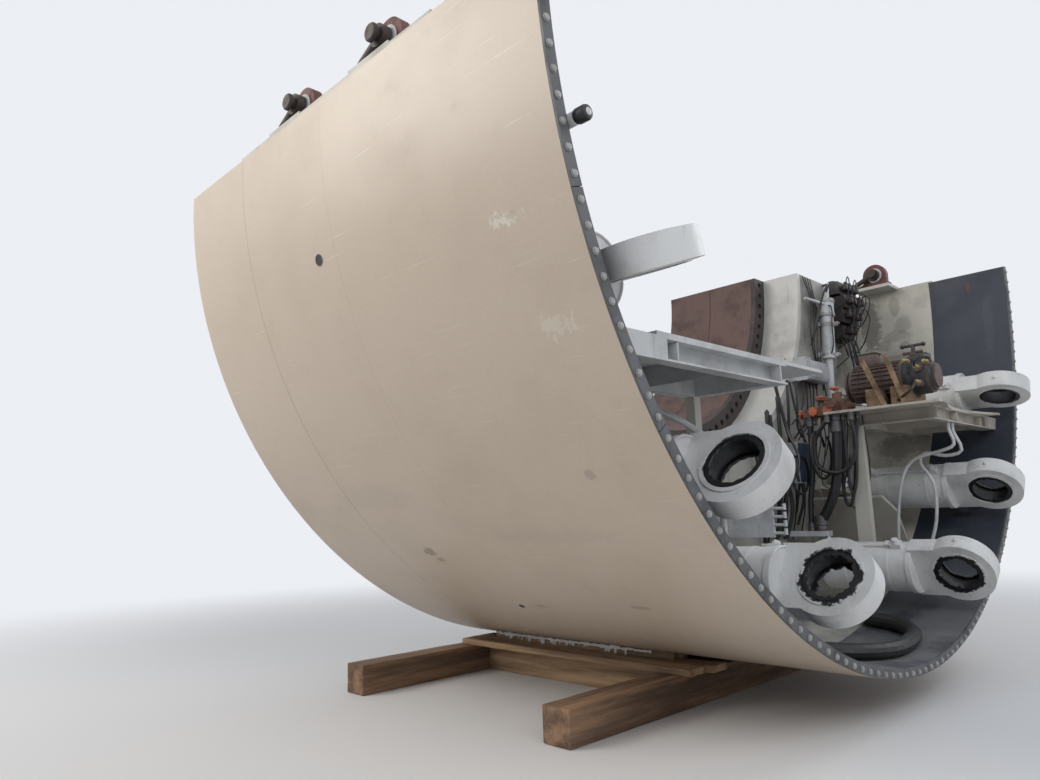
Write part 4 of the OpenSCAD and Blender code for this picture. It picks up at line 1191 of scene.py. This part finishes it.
class SHIELD_OT_pump(bpy.types.Operator):
    """Fins, covers, valve handle and brass fittings of the motor and pump"""

    bl_idname = "shield.pump"
    bl_label = "Pump fittings"

    def execute(self, context):
        piece(self.motor(), "motor_fins", "motor_brown")
        piece(self.body(), "pump_body", "pump_black")
        piece(self.handle(), "valve_handle", "valve_black")
        brass = []
        for place in BRASS_AT:
            spot = PUMP_FACE + Vector(place)
            brass.append(nut(0.03, 0.022, spot, NEARWARD))
            brass.append(bar(0.019, 0.05, spot + Vector((0, -0.02, 0)), NEARWARD))
            brass.append(nut(0.024, 0.016, spot + Vector((0, -0.066, 0)), NEARWARD))
        piece(brass, "brass_fittings", "brass")
        hoses = [line([PUMP_FACE + Vector(point) for point in points], d) for d, points in PUMP_HOSES]
        piece(hoses, "pump_hoses", "rubber")
        return {"FINISHED"}

    def motor(self):
        """Cooling fins except over the feet, the terminal box with its lid, and the end ring."""
        parts = []
        for turn in steps_round(26):
            degrees = math.degrees(turn)
            if 235 < degrees < 305:
                continue
            spot = MOTOR_AT + circle_x(0.2, FINS_R, turn)
            parts.append(block((0.36, 0.006, 0.02), spot, (degrees - 90, 0, 0), 0.001))
        parts.append(block((0.14, 0.12, 0.1), MOTOR_AT + Vector((0.14, -0.02, 0.19)), edge=0.01))
        parts.append(block((0.15, 0.13, 0.012), MOTOR_AT + Vector((0.14, -0.02, 0.246)), edge=0.003))
        parts.append(ring(0.135, 0.1, 0.02, MOTOR_AT + Vector((-0.045, 0, 0)), TAILWARD, 0.004))
        return parts

    def body(self):
        """The pump's housing with its flange nuts and valve block."""
        flange = [(0, 0), (0.16, 0), (0.16, 0.03)]
        housing = [(0.135, 0.05), (0.135, 0.15), (0.11, 0.19), (0.06, 0.2), (0, 0.2)]
        parts = [turned(flange + housing, PUMP_FACE, TAILWARD, 40, False)]
        for turn in steps_round(6, 30):
            parts.append(nut(0.024, 0.016, PUMP_FACE + circle_x(0.03, PUMP_BOLTS_R, turn), TAILWARD))
        parts.append(block((0.13, 0.1, 0.1), PUMP_FACE + Vector((0.1, 0, 0.14)), edge=0.012))
        return parts

    def handle(self):
        """The valve's stem and cross bar with a ball on each end."""
        stem = PUMP_FACE + Vector((0.05, 0, 0.17))
        parts = [bar(0.03, 0.1, stem), bar(0.024, 0.15, stem + Vector((-0.075, 0, 0.095)), TAILWARD, 0.005)]
        ball = {"segments": 14, "ring_count": 10, "radius": 0.018}
        for end in (-0.08, 0.08):
            spot = stem + Vector((end, 0, 0.095))
            parts.append(fresh(bpy.ops.mesh.primitive_uv_sphere_add, location=spot, **ball))
        return parts


class SHIELD_OT_manifold(bpy.types.Operator):
    """Flanges, knobs and fittings of the valve manifold on the far platform"""

    bl_idname = "shield.manifold"
    bl_label = "Manifold fittings"

    def execute(self, context):
        iron = []
        for y in FLANGES_AT:
            for turn in steps_round(6):
                spot = MANIFOLD_AT + Vector((0.05, 0, 0.07))
                spot += Vector((0.035 * math.cos(turn), 0, 0.035 * math.sin(turn)))
                spot.y = y - 0.001
                iron.append(nut(0.012, 0.009, spot, NEARWARD))
        for d, place in CAPS:
            iron.append(nut(d, 0.03, MANIFOLD_AT + Vector(place)))
        for k in range(5):
            spot = MANIFOLD_AT + Vector((-0.19 + 0.045 * k, 0.05 + 0.02 * (k % 2), -0.016))
            iron.append(nut(0.03, 0.03, spot, DOWN))
            iron.append(bar(0.018, 0.05, spot + Vector((0, 0, -0.024)), DOWN))
        iron.append(block((0.06, 0.03, 0.05), MANIFOLD_AT + Vector((-0.11, 0.165, 0.02)), edge=0.004))
        piece(iron, "manifold_fittings", "orange_iron")
        knobs = []
        for place, way in KNOBS:
            knobs += self.knob(MANIFOLD_AT + Vector(place), way)
        piece(knobs, "manifold_knobs", "red_knob")
        return {"FINISHED"}

    def knob(self, spot, way):
        """A hand wheel with eight grips round it."""
        hub = [(0, 0), (0.012, 0), (0.012, 0.012), (0.032, 0.014)]
        rim = [(0.036, 0.02), (0.032, 0.03), (0.012, 0.032), (0, 0.032)]
        parts = [turned(hub + rim, spot, way, 20, False)]
        there = aim(spot, way)
        out = there.to_3x3() @ Vector(UP)
        for turn in steps_round(8):
            parts.append(bar(0.012, 0.018, there @ circle_z(0.013, 0.034, turn), out, 0.002, 10))
        return parts


class SHIELD_OT_jack(bpy.types.Operator):
    """Gland bolts, straps and oil hoses of the upright jack"""

    bl_idname = "shield.jack"
    bl_label = "Jack fittings"

    def execute(self, context):
        top = Vector((BULK + 0.11, HUB_OUT + 0.29, AXIS - 0.1))
        there = Matrix.Translation(top) @ Matrix.Rotation(math.radians(-6), 4, "X")
        parts = []
        for z in (-0.14, -0.275):
            parts.append(ring(0.074, 0.06, 0.022, (0, 0, z), DOWN, 0.003))
            for turn in steps_round(8):
                parts.append(nut(0.016, 0.012, circle_z(z, 0.067, turn)))
        for z in (-0.36, -0.66, -1.09):
            parts.append(ring(0.062, 0.056, 0.04, (0, 0, z), DOWN, 0.002))
            parts.append(block((0.05, 0.03, 0.04), (0.075, 0, z - 0.02), edge=0.003))
            parts.append(nut(0.018, 0.014, (0.1, 0, z - 0.02), TAILWARD))
        piece(parts, "jack_straps", "bolt_zinc", matrix=there)
        piece([line(points, d) for d, points in JACK_HOSES], "jack_hoses", "rubber", matrix=there)
        return {"FINISHED"}


class SHIELD_OT_boxes(bpy.types.Operator):
    """Lids, screws, cable glands and cables of the boxes beside the hub ring"""

    bl_idname = "shield.boxes"
    bl_label = "Box fittings"

    def execute(self, context):
        for name, y, up, wide, tall, deep, finish_name in BOXES:
            face = BULK + deep
            z = AXIS + up
            parts = [
                block((0.012, wide - 0.014, tall - 0.014), (face + 0.005, y, z), edge=0.003),
                block((0.006, wide - 0.05, tall - 0.05), (face + 0.013, y, z), edge=0.002),
            ]
            for dy in (0.017 - wide / 2, wide / 2 - 0.017):
                for dz in (0.017 - tall / 2, tall / 2 - 0.017):
                    parts.append(bar(0.016, 0.006, (face + 0.01, y + dy, z + dz), TAILWARD, 0.0015, 12))
            piece(parts, name + "_lid", finish_name)
        glands = []
        cables = []
        rng = random.Random(9)
        for k in range(5):
            y = 1.46 + 0.065 * k
            spot = Vector((BULK + 0.08, y, AXIS - 1.059))
            glands.append(nut(0.028, 0.018, spot, DOWN))
            glands.append(bar(0.022, 0.03, spot + Vector((0, 0, -0.016)), DOWN, 0.004))
            drop = 0.25 + 0.3 * rng.random()
            end = Vector((BULK + 0.02, y - 0.2 + 0.1 * rng.random(), spot.z - drop))
            middle = spot.lerp(end, 0.55) + Vector((0.05 * rng.random(), 0.05, -0.06))
            cables.append(line([spot, spot + Vector((0, 0, -0.08)), middle, end], 0.012 + 0.004 * (k % 2)))
        piece(glands, "cable_glands", "valve_black")
        piece(cables, "box_cables", "rubber")
        return {"FINISHED"}


class SHIELD_OT_valve_stack(bpy.types.Operator):
    """Coils, plugs and cable loops of the valve stack high on the bulkhead"""

    bl_idname = "shield.valve_stack"
    bl_label = "Valve stack fittings"

    def execute(self, context):
        self.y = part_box("valve_stack")[0].y + 0.2
        self.rng = random.Random(31)
        coils = []
        cables = []
        for z, deep, columns in COIL_ROWS:
            for dy in columns:
                spot = Vector((BULK + deep, self.y + dy, AXIS + z))
                coils.append(nut(0.034, 0.014, spot, TAILWARD))
                coils.append(block((0.05, 0.042, 0.05), spot + Vector((0.035, 0, 0)), edge=0.005))
                coils.append(block((0.03, 0.03, 0.028), spot + Vector((0.045, 0, 0.038)), edge=0.004))
                if self.rng.random() < 0.6:
                    cables.append(self.coil_cable(spot))
        piece(coils, "valve_coils", "valve_black")
        cables += [self.loop(k) for k in range(7)]
        cables += [self.hub_cable(k) for k in range(4)]
        piece(cables, "valve_cables", "rubber")
        return {"FINISHED"}

    def coil_cable(self, spot):
        """The cable that leaves a coil's plug and hangs against the bulkhead."""
        start = spot + Vector((0.05, 0, 0.05))
        side = self.rng.uniform(-0.16, 0.16)
        end = Vector((BULK + 0.03, spot.y + side, spot.z - self.rng.uniform(0.15, 0.4)))
        over = start + Vector((0.03, side * 0.2, 0.04))
        middle = start.lerp(end, 0.5) + Vector((0.09, 0, -0.04))
        return line([start, over, middle, end], 0.011)

    def loop(self, k):
        """One of the loops under the lowest valve block."""
        x = BULK + 0.1 + 0.02 * (k % 3)
        y = self.y - 0.12 + 0.04 * k
        reach = 0.1 + 0.05 * (k % 4)
        points = [
            (x, y, AXIS - 0.55), (x + 0.02, y + 0.01, AXIS - 0.62),
            (x + 0.03, y + 0.05, AXIS - 0.62 - reach),
            (x, y + 0.11, AXIS - 0.6 - reach * 0.5), (x - 0.02, y + 0.1, AXIS - 0.55),
        ]
        return line(points, 0.014)

    def hub_cable(self, k):
        """One of the cables that run down beside the hub ring."""
        y = HUB_OUT + 0.02 + 0.05 * k
        z = AXIS - 0.06 - 0.09 * k
        points = [
            (BULK + 0.02, y, AXIS - 0.02), (BULK + 0.05, y + 0.06, z - 0.2),
            (BULK + 0.04, y + 0.02, z - 0.5), (BULK + 0.03, y + 0.1, z - 0.85),
        ]
        return line(points, 0.012)


class SHIELD_OT_hoses(bpy.types.Operator):
    """Ferrules of the hanging hoses, and the thin hoses and cables among them"""

    bl_idname = "shield.hoses"
    bl_label = "Hose fittings"

    def execute(self, context):
        parts = []
        for x, y, z, d in HOSE_TOPS:
            parts += self.ferrule(at(x, y, z), d, DOWN, 0.6, 1.2)
        for x, y, z, d in HOSE_FEET:
            parts += self.ferrule(at(x, y, z), d, UP, 0.5, 1.0)
        piece(parts, "hose_ferrules", "pin_steel")
        rng = random.Random(3)
        cables = [self.loop(k, rng) for k in range(6)]
        cables += [self.bulkhead_cable(k) for k in range(5)]
        cables += [self.hanging(k, *row) for k, row in enumerate(HANGING)]
        cables += [self.coil(*row) for row in COILS]
        piece(cables, "loose_cables", "rubber")
        return {"FINISHED"}

    def loop(self, k, rng):
        """One of the thin cables that hang in a loop under the far platform."""
        x = -1.0 + 0.05 * k
        y = 1.0 + 0.03 * k
        low = -1.75 - 0.45 * rng.random()
        turn_x = x - 0.05 + 0.05 * rng.random()
        points = [
            at(x, y, -1.42), at(x - 0.02, y, -1.6), at(turn_x, y + 0.02, low),
            at(x + 0.05, y + 0.04, low + 0.16), at(x + 0.06, y + 0.03, -1.44),
        ]
        return line(points, 0.01)

    def bulkhead_cable(self, k):
        """One of the cables that run down the bulkhead."""
        y = 0.8 + 0.16 * k
        points = [
            at(-1.345, y, -1.5 - 0.05 * k), at(-1.3, y + 0.03, -1.8), at(-1.32, y + 0.1, -2.1),
            at(-1.34, y + 0.02, -2.5 + 0.04 * k),
        ]
        return line(points, 0.014)

    def hanging(self, k, y, x, top, low, d):
        """One of the hoses that hang from the rail, each with a sag of its own."""
        sag = 0.06 * math.sin(2.3 * k + 1)
        points = [
            at(x, y, top), at(x + 0.02, y + sag, top - 0.25),
            at(x + 0.05 + sag, y + 0.5 * sag, (top + low) / 2),
            at(x + 0.03, y - sag, low + 0.25), at(x - 0.03, y - 0.5 * sag, low),
        ]
        return line(points, d)

    def coil(self, y, x, z, r, count):
        """A hose that is hung up in turns."""
        points = []
        for n in range(count):
            turn = n * math.pi / 6 + 0.4
            points.append(at(x + 0.004 * n, y + r * math.cos(turn), z + r * 1.25 * math.sin(turn)))
        return line(points, 0.022)

    def ferrule(self, spot, d, way, nut_part, sleeve_part):
        """The swivel nut and pressed sleeve on a hose's end, as parts of its diameter."""
        end = d * sleeve_part
        sleeve = [(d * 0.52, 0), (d * 0.62, 0.004), (d * 0.62, end - d * 0.1), (d * 0.53, end)]
        return [
            nut(d * 1.15, d * nut_part, spot, way),
            turned(sleeve, spot + Vector(way) * d * nut_part, way, 24),
        ]


class SHIELD_OT_lugs(bpy.types.Operator):
    """Bosses of the lifting lugs, and the heads, nuts and split pins of the shackle pins"""

    bl_idname = "shield.lugs"
    bl_label = "Lug fittings"

    def execute(self, context):
        bosses = []
        head = [(0, 0), (0.047, 0), (0.047, 0.014), (0.04, 0.022), (0, 0.024)]
        for number, (x, side) in enumerate(LUGS):
            middle = at(-x, side * LUG_Y, LUG_UP)
            for way in (-1, 1):
                face = middle + Vector((0, way * 0.03, 0))
                bosses.append(ring(0.075, 0.031, 0.01, face, (0, way, 0), 0.003))
            pin = [
                turned(head, middle + Vector((0, -0.118, 0)), NEARWARD, 24, False),
                nut(0.075, 0.03, middle + Vector((0, 0.112, 0)), (0, 1, 0)),
                bar(0.007, 0.09, middle + Vector((0, 0.148, -0.045)), edge=0.001, sides=10),
            ]
            name = str(number + 1)
            piece(pin, "shackle_nuts_" + name, "shackle_iron", "shackle_" + name)
        piece(bosses, "lug_bosses", "white_paint")
        return {"FINISHED"}


class SHIELD_OT_timbers(bpy.types.Operator):
    """Sawn beams, boards and strips under the section, and the foam that has run down"""

    bl_idname = "shield.timbers"
    bl_label = "Timbers"

    def execute(self, context):
        low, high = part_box("cross_beams")
        beams = []
        for number, x in enumerate((low.x + 0.1, high.x - 0.1)):
            beams.append(self.timber((BEAM_SIDE, high.y - low.y, BEAM_SIDE), (x, 0, 0.1), 60 + number))
        piece(beams, "sawn_beams", "beam_wood", replaces=("cross_beams",))
        start, end = low.x + 0.2, high.x - 0.2
        middle = (start + end) / 2
        board_start, board_end = low.x + 0.06, REAR - 0.97
        board_l = board_end - board_start
        board_x = (board_start + board_end) / 2
        board_z = BEAM_TOP + BOARD_THICK / 2 + 0.001
        boards = []
        plank = (end - start - 0.004, 0.18, BEAM_SIDE)
        inner = (board_l, 0.175, BOARD_THICK)
        outer = (board_l - 0.05, 0.168, BOARD_THICK)
        for side in (-1, 1):
            boards.append(self.timber(plank, (middle, side * 0.69, 0.1), 70 + side))
            boards.append(self.timber(inner, (board_x, side * 0.689, board_z), 74 + side))
            boards.append(self.timber(outer, (board_x - 0.02, side * 0.865, board_z), 78 + side))
            boards.append(self.strip(side))
        piece(boards, "sawn_boards", "plank_wood", replaces=("long_planks",))
        piece(self.foam(start, end - start), "foam_drips", "foam")
        return {"FINISHED"}

    def timber(self, size, place, seed):
        """A sawn timber with uneven faces and knocked edges."""
        made = take(block(size, place, edge=0.006))
        bpy.ops.object.mode_set(mode="EDIT")
        bpy.ops.mesh.select_all(action="SELECT")
        bpy.ops.mesh.subdivide(number_cuts=3)
        longest = max(size)
        axis = size.index(longest)
        count = int(longest / 0.12)
        for n in range(1, count):
            normal, spot = [0, 0, 0], list(place)
            normal[axis] = 1
            spot[axis] = place[axis] - longest / 2 + longest * n / count
            bpy.ops.mesh.select_all(action="SELECT")
            bpy.ops.mesh.bisect(plane_co=spot, plane_no=normal)
        bpy.ops.object.mode_set(mode="OBJECT")
        return roughen(made, SAW_WAVE, SAW_DEPTH, seed)

    def strip(self, side):
        """The upper strip, hollowed to the skin."""
        start, end = FRONT + 0.262, REAR - 1.262
        size = (end - start, 0.156, 0.05)
        made = take(block(size, ((start + end) / 2, side * 0.68, BEAM_TOP + 0.0705), edge=0.002))
        bpy.ops.object.mode_set(mode="EDIT")
        bpy.ops.mesh.select_all(action="SELECT")
        bpy.ops.mesh.subdivide(number_cuts=5)
        bpy.ops.object.mode_set(mode="OBJECT")
        for vertex in made.data.vertices:
            roof = AXIS - math.sqrt(SHELL_R ** 2 - vertex.co.y ** 2) - 0.0005
            vertex.co.z = min(vertex.co.z, roof)
        return made

    def foam(self, start, length):
        """A run of foam along each strip's outer edge, with drips under it."""
        rng = random.Random(17)
        parts = []
        count = 70
        for side in (-1, 1):
            points, radii = [], []
            for n in range(count + 1):
                x = start + 0.1 + (length - 0.25) * n / count
                y = side * (0.762 + 0.006 * rng.random())
                points.append((x, y, BEAM_TOP + 0.077 + 0.008 * rng.random()))
                radii.append(0.5 + rng.random())
            parts.append(line(points, 0.02, radii))
            for _ in range(22):
                top = (start + 0.15 + (length - 0.35) * rng.random(), side * 0.763, BEAM_TOP + 0.078)
                drip_l = 0.014 + 0.024 * rng.random()
                parts.append(bar(0.01 + 0.012 * rng.random(), drip_l, top, (0, side * 0.05, -1), 0.003, 10))
        return parts


class SHIELD_OT_stage(bpy.types.Operator):
    """Floor, backdrop light, lamps and the camera at the photograph's angle"""

    bl_idname = "shield.stage"
    bl_label = "Stage"

    def execute(self, context):
        self.floor(context.scene.shield_looks.floor_tone)
        world = bpy.data.worlds.new("studio")
        context.scene.world = world
        world.use_nodes = True
        tree = world.node_tree
        back = tree.nodes["Background"]
        tree.links.new(blend(tree, self.seen(tree), (*SKY_LIGHT, 1), (*BACKDROP, 1)), back.inputs["Color"])
        back.inputs["Strength"].default_value = 1.0
        for number, (place, power, tint) in enumerate(LAMPS):
            lamp = fresh(bpy.ops.object.light_add, type="AREA", location=place)
            lamp.name = f"soft_lamp_{number + 1}"
            lamp.data.size = 5.0
            lamp.data.energy = power
            lamp.data.color = tint
            lamp.rotation_euler = (Vector((0, 0, 1.5)) - Vector(place)).to_track_quat("-Z", "Y").to_euler()
        turn = [math.radians(t) for t in CAMERA_TURN]
        camera = fresh(bpy.ops.object.camera_add, location=CAMERA_AT, rotation=turn)
        camera.data.lens = CAMERA_LENS
        camera.data.sensor_width = 36
        camera.data.clip_end = 200
        context.scene.camera = camera
        context.scene.view_settings.view_transform = "Standard"
        return {"FINISHED"}

    def seen(self, tree):
        """1 where the camera or a reflection looks, 0 for the light on the section."""
        ray = tree.nodes.new("ShaderNodeLightPath")
        return maths(tree, "MAXIMUM", ray.outputs["Is Camera Ray"], ray.outputs["Is Glossy Ray"], True)

    def floor(self, tone):
        """A grey floor that fades into the backdrop."""
        floor = fresh(bpy.ops.mesh.primitive_plane_add, size=60, location=(0, 0, -0.0005))
        floor.name = "floor"
        made = bpy.data.materials.new("floor_grey")
        made.use_nodes = True
        tree = made.node_tree
        shader = tree.nodes["Principled BSDF"]
        shader.inputs["Base Color"].default_value = (tone, tone, tone, 1)
        shader.inputs["Roughness"].default_value = 0.9
        where = tree.nodes.new("ShaderNodeTexCoord").outputs["Object"]
        far = put(tree, "VectorMath", {"operation": "LENGTH"}, i0=where).outputs["Value"]
        haze = put(tree, "Emission", Color=BACKDROP)
        ground = put(tree, "MixShader", i0=times(tree, step(tree, far, 4.5, 11.0), self.seen(tree)))
        tree.links.new(shader.outputs[0], ground.inputs[1])
        tree.links.new(haze.outputs[0], ground.inputs[2])
        tree.links.new(ground.outputs[0], tree.nodes["Material Output"].inputs["Surface"])
        floor.data.materials.append(made)


class SHIELD_PT_panel(bpy.types.Panel):
    """Lists the section's operators and sizes"""

    bl_label = "Tunnel shield section"
    bl_idname = "SHIELD_PT_panel"
    bl_space_type = "VIEW_3D"
    bl_region_type = "UI"
    bl_category = "Shield"

    def draw(self, context):
        looks = context.scene.shield_looks
        for name in ("shell_paint", "shell_dirt", "rim_bolt", "rim_bolt_count", "weld_size", "floor_tone"):
            self.layout.prop(looks, name)
        for operator in OPERATORS:
            self.layout.operator(operator.bl_idname)


OPERATORS = [
    SHIELD_OT_stage, SHIELD_OT_finishes, SHIELD_OT_rim_bolts, SHIELD_OT_shell_fittings,
    SHIELD_OT_weld_beads, SHIELD_OT_cylinders, SHIELD_OT_decks, SHIELD_OT_pump, SHIELD_OT_manifold,
    SHIELD_OT_jack, SHIELD_OT_boxes, SHIELD_OT_valve_stack, SHIELD_OT_hoses, SHIELD_OT_lugs,
    SHIELD_OT_timbers,
]
CLASSES = [ShieldLooks, *OPERATORS, SHIELD_PT_panel]


def register():
    """Makes the classes and settings known to Blender."""
    for kind in CLASSES:
        bpy.utils.register_class(kind)
    bpy.types.Scene.shield_looks = bpy.props.PointerProperty(type=ShieldLooks)


def unregister():
    """Takes the classes and settings away."""
    del bpy.types.Scene.shield_looks
    for kind in reversed(CLASSES):
        bpy.utils.unregister_class(kind)


def main():
    """Builds everything in order."""
    register()
    for operator in OPERATORS:
        family, name = operator.bl_idname.split(".")
        getattr(getattr(bpy.ops, family), name)()


if __name__ == "__main__":
    main()
